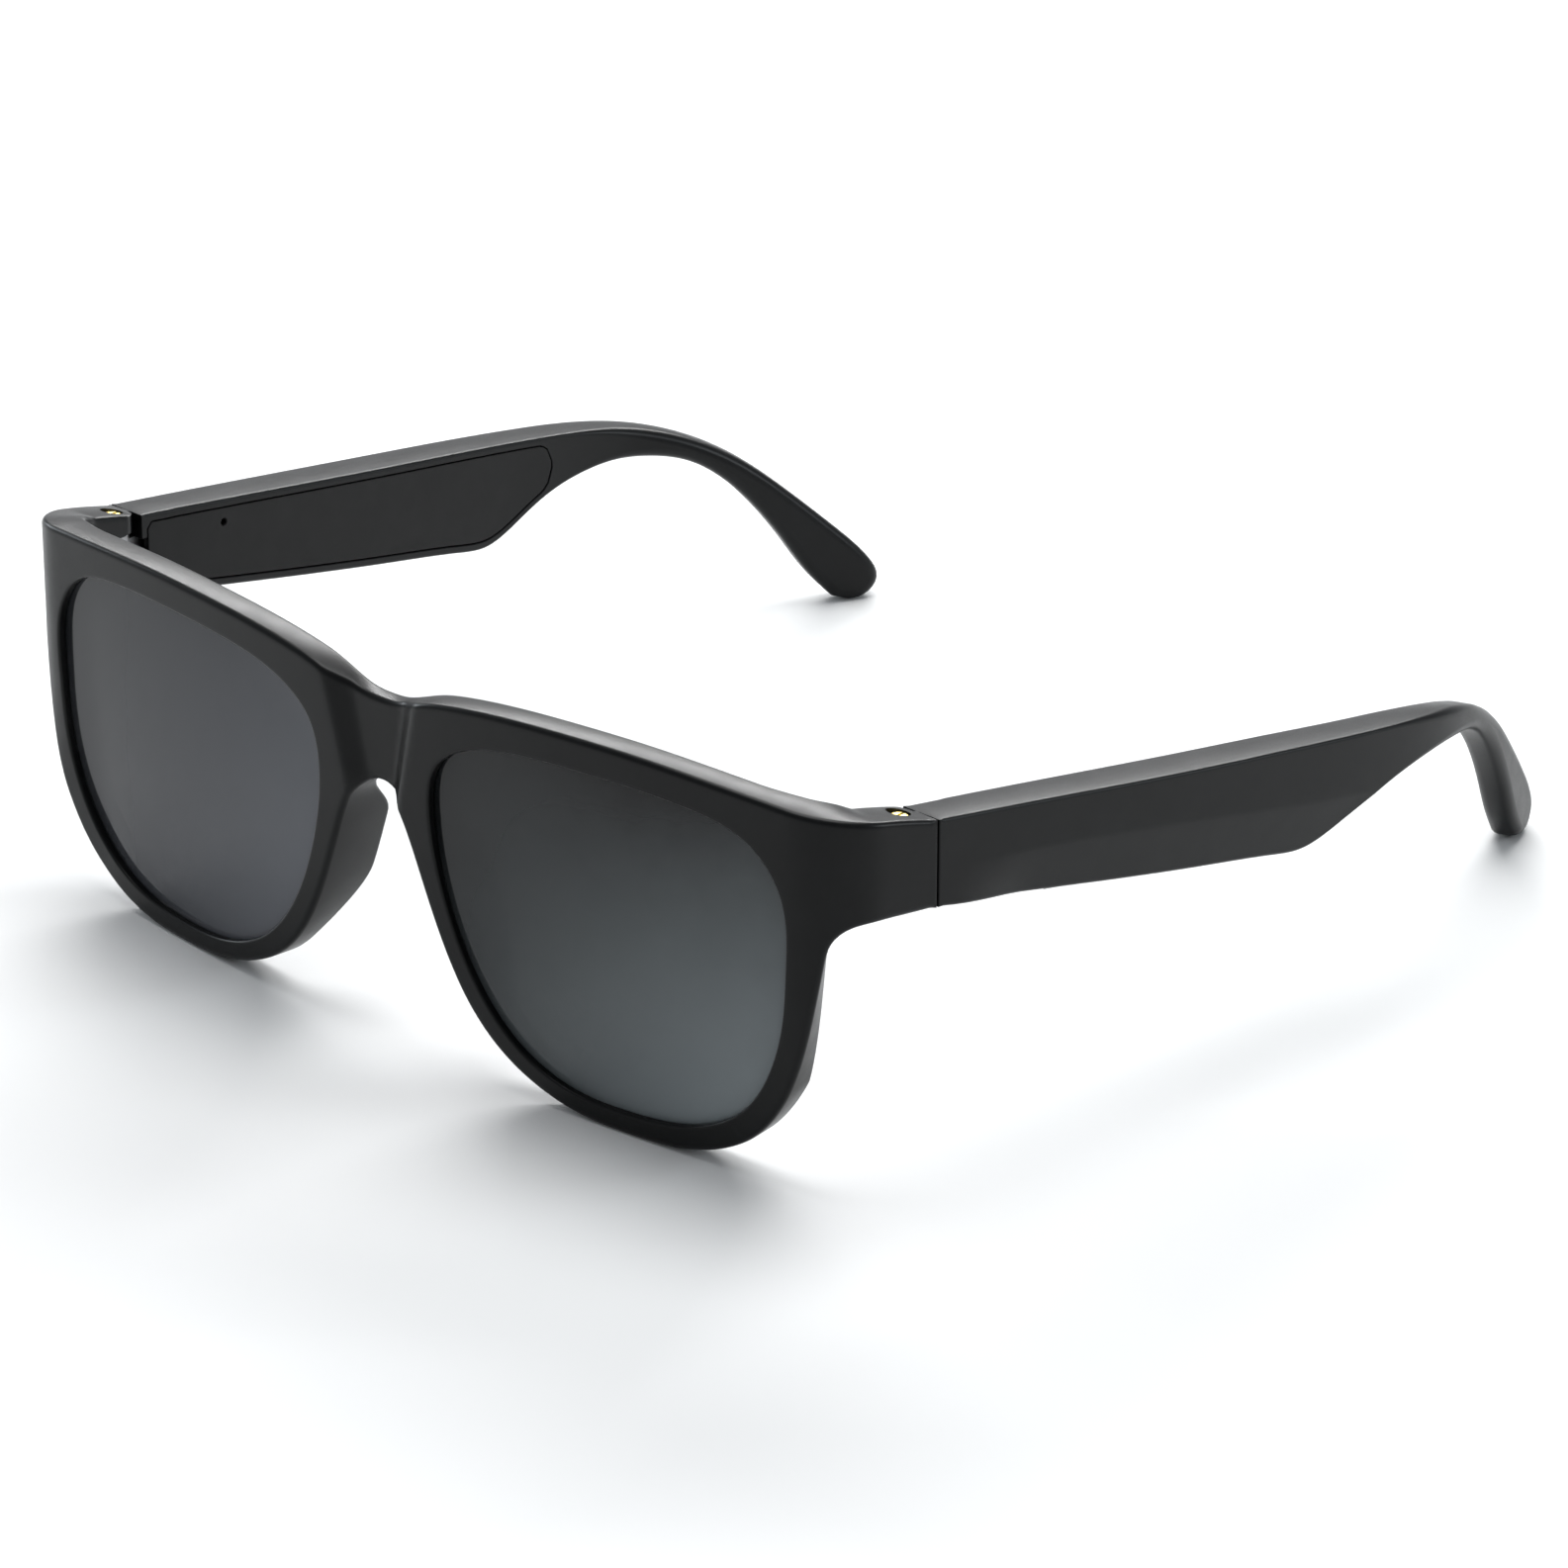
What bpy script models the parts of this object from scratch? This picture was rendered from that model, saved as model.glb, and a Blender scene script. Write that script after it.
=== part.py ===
"""Audio smart glasses with two folding temples, each a self-contained pod of electronics.

Lengths are in millimetres and become metres where a mesh is made. The working frame has its origin
level with the top of the hinge line: x across the face (the wearer's left is +X), y from the split
between front and temple towards the ear (the lenses are at -Y), z up. The finished object is moved so
that it stands on the rim bottoms and the two temple tips with the middle of its footprint at the origin.
"""

import math

import bmesh
import bpy
import numpy as np
from mathutils import Vector
from mathutils.geometry import delaunay_2d_cdt

MM = 0.001

# Overall placing
FLOOR_DROP = 45.1  # hinge line above the surface the glasses stand on
MID_DEPTH = 53.33  # split line behind the middle of the folded-out length

# Front, seen from above: a shallow bow, a round corner, then a straight side to the split
BOW_APEX = -22.2
BOW_DEPTH = 6.6
BOW_HALF = 70.0
BOW_END = 64.2
CORNER_RADIUS = 9.5
SIDE_SPLAY = 0.08
HALF_WIDTH = 72.7
FRONT_LEAN = 0.032
FRONT_THICKNESS = 4.4
ENDPIECE_THICKNESS = 6.1
RIM_FILLET = 0.7
END_S = 85.5
END_HEIGHT = 11.1

# Front outline, half of it, as (distance along the bow, height)
BROW = ((0, 0.5), (3, 0.7), (6, 1.6), (9.5, 2.8), (14, 3.7), (22, 4.6), (32, 5.1), (42, 5.2),
        (52, 4.8), (62, 4.1), (70, 3.3), (76, 2.3), (81, 1.2), (END_S, 0))
RIM = ((END_S, -END_HEIGHT), (80, -10.6), (75, -10.3), (72.2, -10.8), (70.3, -12.4), (69.4, -15.2),
       (68.6, -19.2), (67.5, -24.2), (65.7, -30), (62.9, -35.4), (59, -39.9), (53.4, -43.2), (46.8, -44.8),
       (40, -45.1), (33, -44.8), (25.7, -43), (19.8, -39.9), (15.4, -35.8), (12.1, -30.8), (9.5, -25.3),
       (7.3, -19.8), (5.4, -15.2), (3.3, -12), (0, -10.6))
LENS = ((64.3, -16.5), (63.6, -7.2), (59.6, -2), (50.5, 0.6), (36.5, 1), (24.5, 0.4), (16, -1.6),
        (11.2, -5.2), (9.8, -11.5), (11.3, -20.5), (15.6, -30.6), (22.3, -38.1), (31, -41.8),
        (40.5, -42.3), (50, -41), (57.2, -37), (61.6, -30.6), (63.7, -23.5))

# Bridge recess and moulded nose pads
RECESS_DEPTH = 1.6
RECESS_FOOT = ((5.2, 3), (2.4, -11))
RECESS_RIM = ((8.6, 4), (4.4, -12))
PAD_DEPTH = 4.5
PAD_TOP, PAD_FULL, PAD_EASE, PAD_BOTTOM = -11.5, -19, -27, -38
PAD_INNER, PAD_OUTER = 16, 24

# Lenses and their groove
GROOVE_FRONT, GROOVE_BACK, GROOVE_DEPTH = 0.9, 2.9, 0.8
LENS_FRONT, LENS_THICKNESS, LENS_TUCK, LENS_DOME = 1.1, 1.6, 0.5, 0.7

# Temple, seen from above (outer surface) and from the side
TEMPLE_PATH = ((0, 72.7), (20, 74), (40, 75.2), (60, 76), (74, 76.2), (84, 75.8), (92, 74.7), (100, 72.3),
               (108, 69.2), (116, 65.9), (124, 62.4), (131, 59.2))
TEMPLE_THICKNESS = ((0, 5.9), (60, 6), (76, 5.5), (92, 5), (108, 4.6), (131, 4.2))
TEMPLE_TOP = ((0.3, 0), (15, -2.1), (30, -4.3), (46, -6.6), (62, -8.8), (76, -10.8), (86, -12.3),
              (95, -14.2), (102.3, -16.9), (109.2, -21), (117, -27.7), (124, -34.6), (128.3, -39.3),
              (129.6, -42.2), (128.4, -44.3), (125.6, -45.1), (122.8, -44.2))
TEMPLE_BELLY = ((122.8, -44.2), (119.6, -40.4), (115.6, -34.2), (111.6, -28.6), (107.3, -23.9),
                (102.5, -20.5), (96, -18.5), (90, -17.8), (84, -18), (78.4, -18.9), (72.8, -20.8),
                (68.2, -22.7), (64.5, -23.6), (59, -22.9), (46, -20.4), (30, -17.3), (15, -14.2),
                (0.3, -END_HEIGHT))
CREASE = ((6, -7.2), (13, -7.9), (30, -10.5), (46, -13.4), (62, -16.5), (74, -18.6))
CREASE_SLOPE = 0.17
FACET_START, FACET_END = (3, 16), (70, 84)
SHELL_FILLET, HOOK_FILLET = 0.45, 1.5

# Pocket and inner cover
COVER_FRONT, COVER_REAR, COVER_INSET, COVER_RECESS, COVER_THICKNESS = 1.3, 77.5, 1.1, 1.15, 1.0
COVER_SHY = 0.05  # how far the cover stays below the face round it
POCKET_FRONT, POCKET_REAR, POCKET_INSET, WALL = 12.4, 74.5, 2.1, 1.3
FIT = 0.15

# Hinge
PIN_X, PIN_Y = 69.0, -2.75
KNUCKLE_RADIUS = 2.5
CAVITY_TOP, CAVITY_BOTTOM, CAVITY_FRONT, CAVITY_SIDE = -1.9, -8.2, -7.4, 71.4
PIN_HOLE_RADIUS = 1.5
EAR = 1.05
LEAF_RADIUS = 2.1
PIN_RADIUS, PIN_HEAD_RADIUS = 0.65, 1.3
PIN_TOP, PIN_SLOT_HALF, PIN_SLOT_DEPTH = 0.45, 0.2, 0.45
STRAP_HALF, STRAP_END, STRAP_SPLAY = 0.5, 11.0, 0.075
STRAP_SCREW_Y = 7.0
SCREW_RADIUS, SCREW_HEAD_RADIUS, SCREW_HEAD = 0.6, 1.1, 0.6
SCREW_MID = 0.5 * (CAVITY_TOP + CAVITY_BOTTOM)

# Openings in the temple's underside and inner cover
MIC_Y, MIC_DROP, MIC_HOLE = 14.6, 3.2, 0.5
BUTTON_FROM, BUTTON_TO = 20.0, 28.0
BUTTON_OUTER, BUTTON_INNER = 2.75, 4.55
UNDER_MIDDLE = 3.7
OUTLET_FROM, OUTLET_TO = 54.5, 61.5
CONTACTS = (37.0, 44.0)
CONTACT_RADIUS = 0.9
MAGNET_Y, MAGNET_HEIGHTS, MAGNET_RADIUS = 40.5, (2.45, 3.1), 1.0

# Mesh fineness
STEP = 2.6
CORNER_STEP = 2.2
ROUND = 16

COLOURS = {
    "frame_black": ((0.016, 0.017, 0.018), 0.42, 0.0),
    "lens_grey": ((0.03, 0.033, 0.036), 0.08, 0.0),
    "cover_black": ((0.02, 0.02, 0.02), 0.5, 0.0),
    "steel": ((0.45, 0.45, 0.46), 0.3, 1.0),
    "brass": ((0.78, 0.56, 0.2), 0.28, 1.0),
    "gold_contact": ((0.85, 0.62, 0.25), 0.22, 1.0),
    "board_green": ((0.02, 0.11, 0.05), 0.5, 0.0),
    "foil_silver": ((0.55, 0.56, 0.58), 0.35, 0.9),
    "flex_amber": ((0.5, 0.22, 0.04), 0.4, 0.0),
    "speaker_black": ((0.03, 0.03, 0.032), 0.55, 0.0),
    "mesh_dark": ((0.08, 0.08, 0.085), 0.45, 0.8),
    "magnet_nickel": ((0.6, 0.6, 0.6), 0.25, 1.0),
}


def clear_scene():
    for obj in list(bpy.data.objects):
        bpy.data.objects.remove(obj)


def material(name):
    colour, roughness, metallic = COLOURS[name]
    made = bpy.data.materials.get(name) or bpy.data.materials.new(name)
    made.use_nodes = True
    shader = made.node_tree.nodes["Principled BSDF"]
    shader.inputs["Base Color"].default_value = (*colour, 1)
    shader.inputs["Roughness"].default_value = roughness
    shader.inputs["Metallic"].default_value = metallic
    return made


# Curves in the plane

def cubic(knots, values):
    """A natural cubic spline through values at knots, as a function."""
    knots, values = np.asarray(knots, float), np.asarray(values, float)
    gap = np.diff(knots)
    count = len(knots)
    left, right = np.eye(count), np.zeros(count)
    for i in range(1, count - 1):
        left[i, i - 1:i + 2] = gap[i - 1], 2 * (gap[i - 1] + gap[i]), gap[i]
        right[i] = 6 * ((values[i + 1] - values[i]) / gap[i] - (values[i] - values[i - 1]) / gap[i - 1])
    bend = np.linalg.solve(left, right)

    def at(t):
        t = np.asarray(t, float)
        i = np.clip(np.searchsorted(knots, t) - 1, 0, count - 2)
        h, a, b = gap[i], (knots[i + 1] - t) / gap[i], (t - knots[i]) / gap[i]
        curve = ((a ** 3 - a) * bend[i] + (b ** 3 - b) * bend[i + 1]) * h ** 2 / 6
        return a * values[i] + b * values[i + 1] + curve

    return at


def run_through(points, spacing):
    """Points spaced evenly along a smooth open curve through the given ones."""
    points = np.asarray(points, float)
    chord = np.concatenate([[0], np.cumsum(np.hypot(*np.diff(points, axis=0).T))])
    x, y = cubic(chord, points[:, 0]), cubic(chord, points[:, 1])
    fine = np.linspace(0, chord[-1], 40 * len(points))
    track = np.stack([x(fine), y(fine)], 1)
    length = np.concatenate([[0], np.cumsum(np.hypot(*np.diff(track, axis=0).T))])
    count = max(2, round(length[-1] / spacing) + 1)
    even = np.linspace(0, length[-1], count)
    return np.stack([np.interp(even, length, track[:, 0]), np.interp(even, length, track[:, 1])], 1)


def ring_through(points, spacing):
    """The same for a closed curve, without repeating its first point."""
    points = [tuple(p) for p in points]
    overlap = 4
    wrapped = points[-overlap:] + points + points[:overlap + 1]
    dense = run_through(wrapped, 0.2)
    start = np.hypot(*(dense - points[0]).T)
    half = len(dense) // 2
    first = start[:half].argmin()
    last = half + start[half:].argmin()
    loop = dense[first:last + 1]
    length = np.concatenate([[0], np.cumsum(np.hypot(*np.diff(loop, axis=0).T))])
    even = np.linspace(0, length[-1], round(length[-1] / spacing) + 1)[:-1]
    return np.stack([np.interp(even, length, loop[:, 0]), np.interp(even, length, loop[:, 1])], 1)


def area(loop):
    x, y = loop.T
    return 0.5 * float(np.sum(x * np.roll(y, -1) - np.roll(x, -1) * y))


def inset(loop, distance):
    """The loop moved towards its inside, or outwards where distance is negative."""
    ahead, behind = np.roll(loop, -1, 0) - loop, loop - np.roll(loop, 1, 0)
    normals = []
    for edge in (ahead, behind):
        edge = edge / np.maximum(np.hypot(*edge.T), 1e-9)[:, None]
        normals.append(np.stack([-edge[:, 1], edge[:, 0]], 1))
    middle = normals[0] + normals[1]
    middle = middle / np.maximum((middle * normals[0]).sum(1), 0.5)[:, None]
    distance = np.broadcast_to(distance, len(loop))
    return loop + middle * distance[:, None] * np.sign(area(loop))


def inside(points, loop):
    x, y = points[:, 0:1], points[:, 1:2]
    (ax, ay), (bx, by) = loop.T, np.roll(loop, -1, 0).T
    crosses = (ay > y) != (by > y)
    with np.errstate(divide="ignore", invalid="ignore"):
        where = ax + (y - ay) * (bx - ax) / (by - ay)
    return (np.sum(crosses & (x < where), 1) % 2).astype(bool)


def clear_of(points, loops, distance):
    far = np.ones(len(points), bool)
    for loop in loops:
        gaps = np.hypot(points[:, None, 0] - loop[None, :, 0], points[:, None, 1] - loop[None, :, 1])
        far &= gaps.min(1) > distance
    return far


def smoothstep(low, high, value):
    t = np.clip((np.asarray(value, float) - low) / (high - low), 0, 1)
    return t * t * (3 - 2 * t)


# Closed bodies made of sheets over a flat outline

class Body:
    """Collects rings and fills over a flat (u, v) outline; place(u, v, w) puts each point in space."""

    def __init__(self, place):
        self.place = place
        self.points = []
        self.faces = []

    def ring(self, loop, depth):
        first = len(self.points)
        self.points.extend(self.place(loop[:, 0], loop[:, 1], depth))
        return np.arange(first, first + len(loop))

    def bridge(self, one, other):
        for a, b, c, d in zip(one, np.roll(one, -1), np.roll(other, -1), other):
            self.faces.append((a, b, c, d))

    def fill(self, rims, inner, depth, creases=()):
        """Triangles over the region between the first rim and the rest, through the inner points."""
        flat = [loop for loop, _ in rims]
        index = [list(ids) for _, ids in rims]
        edges, start = [], 0
        for loop in flat:
            edges += [(start + i, start + (i + 1) % len(loop)) for i in range(len(loop))]
            start += len(loop)
        for line in creases:
            edges += [(start + i, start + i + 1) for i in range(len(line) - 1)]
            start += len(line)
        extra = np.concatenate([*creases, inner]) if len(creases) else inner
        if len(extra):
            index.append(list(self.ring(extra, depth(extra[:, 0], extra[:, 1]))))
        corners = np.concatenate([*flat, extra]) if len(extra) else np.concatenate(flat)
        names = np.concatenate(index)
        made = delaunay_2d_cdt([Vector(p) for p in corners], edges, [], 0, 1e-7)
        assert len(made[0]) == len(corners)
        triangles = np.array(made[2])
        order = np.array([origin[0] for origin in made[3]])
        triangles = order[triangles]
        centres = corners[triangles].mean(1)
        keep = inside(centres, flat[0])
        for loop in flat[1:]:
            keep &= ~inside(centres, loop)
        for triangle in triangles[keep]:
            self.faces.append(tuple(names[triangle]))

    def mesh(self, name):
        mesh = bpy.data.meshes.new(name)
        points = (np.array(self.points) + (0, -MID_DEPTH, FLOOR_DROP)) * MM
        mesh.from_pydata(points.tolist(), [], [tuple(int(i) for i in face) for face in self.faces])
        return mesh


def object_of(name, mesh, colour, smooth_angle=35):
    """A closed mesh as an object, with its faces turned outwards and its round parts shaded smooth."""
    shape = bmesh.new()
    shape.from_mesh(mesh)
    bmesh.ops.recalc_face_normals(shape, faces=shape.faces)
    shape.to_mesh(mesh)
    shape.free()
    mesh.shade_smooth()
    mesh.set_sharp_from_angle(angle=math.radians(smooth_angle))
    mesh.materials.append(material(colour))
    made = bpy.data.objects.new(name, mesh)
    bpy.context.scene.collection.objects.link(made)
    return made


def prism(outline, low, high, side=1):
    """A closed bmesh of a flat (x, y) outline between two heights, mirrored where side is -1."""
    shape = bmesh.new()
    rows = []
    for z in (low, high):
        spots = [((side * x), y - MID_DEPTH, z + FLOOR_DROP) for x, y in outline]
        rows.append([shape.verts.new(Vector(p) * MM) for p in spots])
    shape.faces.new(rows[0])
    shape.faces.new(rows[1])
    for i in range(len(outline)):
        j = (i + 1) % len(outline)
        shape.faces.new((rows[0][i], rows[0][j], rows[1][j], rows[1][i]))
    bmesh.ops.recalc_face_normals(shape, faces=shape.faces)
    return shape


def arc(x, y, radius, start, end, count):
    turns = np.radians(np.linspace(start, end, count))
    return [(x + radius * math.cos(t), y + radius * math.sin(t)) for t in turns]


def disc(x, y, radius, count=ROUND):
    return arc(x, y, radius, 0, 360 * (1 - 1 / count), count)


def rectangle(x0, x1, y0, y1):
    return [(x0, y0), (x1, y0), (x1, y1), (x0, y1)]


def rod(start, end, radius, count=ROUND):
    """A closed round bar between two points of the working frame."""
    start, end = (Vector(p) + Vector((0, -MID_DEPTH, FLOOR_DROP)) for p in (start, end))
    along = (end - start).normalized()
    side = along.orthogonal().normalized()
    up = along.cross(side)
    shape = bmesh.new()
    rows = []
    for middle in (start, end):
        turns = [2 * math.pi * i / count for i in range(count)]
        spots = [middle + radius * (math.cos(t) * side + math.sin(t) * up) for t in turns]
        rows.append([shape.verts.new(p * MM) for p in spots])
    shape.faces.new(rows[0])
    shape.faces.new(rows[1])
    for i in range(count):
        j = (i + 1) % count
        shape.faces.new((rows[0][i], rows[0][j], rows[1][j], rows[1][i]))
    bmesh.ops.recalc_face_normals(shape, faces=shape.faces)
    return shape


def mesh_of(shape, name):
    mesh = bpy.data.meshes.new(name)
    shape.to_mesh(mesh)
    shape.free()
    return mesh


def combine(target, shape, operation, name):
    """A Boolean of a shape with the target, through a hidden helper object."""
    helper = bpy.data.objects.new(name, mesh_of(shape, name))
    bpy.context.scene.collection.objects.link(helper)
    helper.hide_render = True
    helper.display_type = "WIRE"
    modifier = target.modifiers.new(name, "BOOLEAN")
    modifier.operation = operation
    modifier.solver = "EXACT"
    modifier.object = helper


def cut(target, shape, name):
    combine(target, shape, "DIFFERENCE", name)


def join(target, shape, name):
    combine(target, shape, "UNION", name)


# The front

BOW_SLOPE = 2 * BOW_DEPTH / BOW_HALF ** 2
BOW_TURN = math.atan(BOW_SLOPE * BOW_END)
SIDE_TURN = math.atan2(1, SIDE_SPLAY)
BOW_LENGTH = float(np.hypot(1, BOW_SLOPE * np.linspace(0, BOW_END, 199)).mean() * BOW_END)


def front_path(s):
    """Position and outward normal of the front's outer surface at a distance along the bow."""
    s = np.asarray(s, float)
    sign, run = np.where(s < 0, -1.0, 1.0), np.abs(s)
    x_bow = run * (BOW_END / BOW_LENGTH)
    y_bow = BOW_APEX + 0.5 * BOW_SLOPE * x_bow ** 2
    y_end = BOW_APEX + 0.5 * BOW_SLOPE * BOW_END ** 2
    turn = np.clip(BOW_TURN + (run - BOW_LENGTH) / CORNER_RADIUS, BOW_TURN, SIDE_TURN)
    x_arc = BOW_END + CORNER_RADIUS * (np.sin(turn) - math.sin(BOW_TURN))
    y_arc = y_end + CORNER_RADIUS * (math.cos(BOW_TURN) - np.cos(turn))
    past = np.maximum(run - BOW_LENGTH - CORNER_RADIUS * (SIDE_TURN - BOW_TURN), 0)
    bow = run < BOW_LENGTH
    x = np.where(bow, x_bow, x_arc + past * math.cos(SIDE_TURN))
    y = np.where(bow, y_bow, y_arc + past * math.sin(SIDE_TURN))
    heading = np.where(bow, np.arctan(BOW_SLOPE * x_bow), turn)
    return sign * x, y, sign * np.sin(heading), -np.cos(heading)


def place_front(s, z, depth):
    x, y, nx, ny = front_path(s)
    x_end, y_end, _, _ = front_path(END_S)
    lean = -FRONT_LEAN * z * (1 - smoothstep(56, 72, np.abs(s)))
    shift = np.sign(s) * (HALF_WIDTH - x_end) * smoothstep(BOW_END, 76, np.abs(s))
    back = -y_end * smoothstep(BOW_END, END_S, np.abs(s))
    return np.stack([x + shift - nx * depth, y + lean + back - ny * depth, z + 0 * depth], 1)


def front_surface(s, z):
    """Depth of the front's outer face: nil except in the bridge recess."""
    foot = np.interp(z, *zip(*sorted((b, a) for a, b in RECESS_FOOT)))
    rim = np.interp(z, *zip(*sorted((b, a) for a, b in RECESS_RIM)))
    return RECESS_DEPTH * np.clip((rim - np.abs(s)) / (rim - foot), 0, 1)


def back_surface(s, z):
    """Depth of the front's inner face: the plate, thicker at the endpieces and over the nose pads."""
    run = np.abs(s)
    plate = FRONT_THICKNESS + (ENDPIECE_THICKNESS - FRONT_THICKNESS) * smoothstep(58, 74, run)
    along = smoothstep(-PAD_TOP, -PAD_FULL, -z)
    fade = 1 - smoothstep(-PAD_EASE, -PAD_BOTTOM, -z)
    across = 1 - smoothstep(PAD_INNER, PAD_OUTER, run)
    return plate + PAD_DEPTH * along * fade * across


def mirrored(points):
    points = [tuple(p) for p in points]
    start = points[1:] if points[0][0] == 0 else points
    return [(-u, v) for u, v in reversed(start)] + points


def front_outline(spacing):
    brow = run_through(mirrored(BROW), spacing)
    rim = run_through(mirrored(list(reversed(RIM))), spacing)[::-1]
    count = round(END_HEIGHT / spacing)
    drop = np.linspace(0, 1, count + 1)[1:-1, None]
    right = brow[-1] + (rim[0] - brow[-1]) * drop
    left = rim[-1] + (brow[0] - rim[-1]) * drop
    return np.concatenate([brow, right, rim, left])[::-1]


def lens_outline(side, spacing):
    loop = ring_through(LENS, spacing)
    return loop * (side, 1)


def grid_over(loops, columns, rows, margin):
    u, v = np.meshgrid(columns, rows)
    spots = np.stack([u.ravel(), v.ravel()], 1)
    keep = inside(spots, loops[0]) & clear_of(spots, loops, margin)
    for loop in loops[1:]:
        keep &= ~inside(spots, loop)
    return spots[keep]


def edge_rings(body, loop, radius, front, back, middle=()):
    """Rings from the front sheet's rim to the back sheet's rim; a positive inset is inwards."""
    steps = [(radius, 0), (0, radius)]
    rims = []
    previous = None
    for distance, drop in steps:
        line = inset(loop, distance)
        ids = body.ring(line, front(line[:, 0], line[:, 1]) + drop)
        rims.append((line, ids))
        if previous is not None:
            body.bridge(previous, ids)
        previous = ids
    for distance, depth in middle:
        line = inset(loop, distance)
        ids = body.ring(line, np.full(len(line), float(depth)))
        body.bridge(previous, ids)
        previous = ids
    for distance, drop in reversed(steps):
        line = inset(loop, distance)
        ids = body.ring(line, back(line[:, 0], line[:, 1]) - drop)
        body.bridge(previous, ids)
        rims.append((line, ids))
        previous = ids
    return rims[0], rims[-1]


def recess_lines():
    lines = []
    for ends in (RECESS_FOOT, RECESS_RIM):
        for side in (1, -1):
            line = np.linspace(ends[0], ends[1], 7) * (side, 1)
            lines.append(line)
    return lines


def front_body():
    body = Body(place_front)
    outer = edge_rings(body, front_outline(STEP), RIM_FILLET, front_surface, back_surface)
    groove = ((0, GROOVE_FRONT), (-GROOVE_DEPTH, GROOVE_FRONT + 0.05), (-GROOVE_DEPTH, GROOVE_BACK),
              (0, GROOVE_BACK + 0.05))
    openings = []
    for side in (1, -1):
        loop = lens_outline(side, STEP)
        openings.append(edge_rings(body, loop, -0.3, front_surface, back_surface, groove))
    columns = np.arange(-84, 85, CORNER_STEP)
    rows = np.arange(-43, 7, 2.4)
    for which, depth in ((0, front_surface), (1, back_surface)):
        rims = [pair[which] for pair in (outer, *openings)]
        loops = [loop for loop, _ in rims]
        creases = []
        if which == 0:
            for line in recess_lines():
                creases.append(line[inside(line, loops[0]) & clear_of(line, loops, 0.6)])
        spots = grid_over(loops, columns, rows, 1.5)
        for line in creases:
            spots = spots[clear_of(spots, [line], 1.0)]
        body.fill(rims, spots, depth, creases)
    return body


def cut_endpiece(front, side):
    """Room for the hinge in one endpiece: its cavity, the round knuckle, the pin hole and a screw hole."""
    tag = "left" if side > 0 else "right"
    cavity = rectangle(62, CAVITY_SIDE, CAVITY_FRONT, 3)
    cut(front, prism(cavity, CAVITY_BOTTOM, CAVITY_TOP, side), f"cavity_{tag}")
    knuckle = [(62, PIN_Y)] + arc(PIN_X, PIN_Y, KNUCKLE_RADIUS, 180, 90, 7) + [(PIN_X, 3), (62, 3)]
    cut(front, prism(knuckle, -20, 8, side), f"knuckle_{tag}")
    cut(front, prism(disc(PIN_X, PIN_Y, PIN_HOLE_RADIUS), CAVITY_TOP - 1, 8, side), f"pin_hole_{tag}")
    ends = ((side * PIN_X, CAVITY_FRONT + 1, SCREW_MID), (side * PIN_X, CAVITY_FRONT - 3.3, SCREW_MID))
    cut(front, rod(*ends, SCREW_RADIUS + FIT, 10), f"bracket_hole_{tag}")


def make_front():
    front = object_of("front_frame", front_body().mesh("front_frame"), "frame_black")
    for side in (1, -1):
        cut_endpiece(front, side)


def lens_surface(drop):
    def depth(s, z):
        away = np.hypot((np.abs(s) - 37) / 29, (z + 20.6) / 23)
        return LENS_FRONT + drop - LENS_DOME * np.clip(1 - away ** 2, 0, 1)
    return depth


def make_lens(side):
    name = "lens_left" if side > 0 else "lens_right"
    body = Body(place_front)
    loop = inset(lens_outline(side, STEP), -LENS_TUCK)
    front, back = edge_rings(body, loop, 0.25, lens_surface(0), lens_surface(LENS_THICKNESS))
    columns = side * np.arange(10, 66, 6.5)
    rows = np.arange(-41, 2, 6.5)
    for rim, drop in ((front, 0), (back, LENS_THICKNESS)):
        body.fill([rim], grid_over([rim[0]], columns, rows, 3), lens_surface(drop))
    object_of(name, body.mesh(name), "lens_grey")


# The temples

PATH_X = cubic(*zip(*TEMPLE_PATH))
THICK = cubic(*zip(*TEMPLE_THICKNESS))
CREASE_Z = cubic(*zip(*CREASE))


def place_temple(side):
    """Puts (distance back, height, depth below the outer surface) in space for one temple."""
    def place(u, v, depth):
        slope = (PATH_X(u + 0.01) - PATH_X(u - 0.01)) / 0.02
        length = np.hypot(1, slope)
        x = PATH_X(u) - depth / length
        return np.stack([side * x, u + depth * slope / length * (u > 6), v + 0 * depth], 1)
    return place


def temple_outer(u, v):
    """Depth of the outer face: a facet below the crease leans in towards the underside."""
    fade = smoothstep(*FACET_START, u) * (1 - smoothstep(*FACET_END, u))
    return CREASE_SLOPE * np.maximum(CREASE_Z(np.clip(u, 5, 76)) - v, 0) * fade


def temple_inner(u, v):
    return THICK(u)


def temple_outline(spacing):
    top = run_through(TEMPLE_TOP, spacing)
    belly = run_through(TEMPLE_BELLY, spacing)
    count = round(END_HEIGHT / spacing)
    rise = np.linspace(0, 1, count + 1)[1:-1, None]
    nose = belly[-1] + (top[0] - belly[-1]) * rise
    return np.concatenate([top, belly[1:], nose])[::-1]


def side_heights():
    """Top and underside of the temple as functions of the distance back, up to the pocket's end."""
    loop = temple_outline(1.0)
    top = loop[(loop[:, 0] < 90) & (loop[:, 1] > -0.12 * loop[:, 0] - 5)]
    under = loop[(loop[:, 0] < 90) & (loop[:, 1] < -0.12 * loop[:, 0] - 5)]
    top, under = top[top[:, 0].argsort()], under[under[:, 0].argsort()]
    return (lambda u: np.interp(u, *top.T)), (lambda u: np.interp(u, *under.T))


TOP_Z, UNDER_Z = side_heights()


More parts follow.
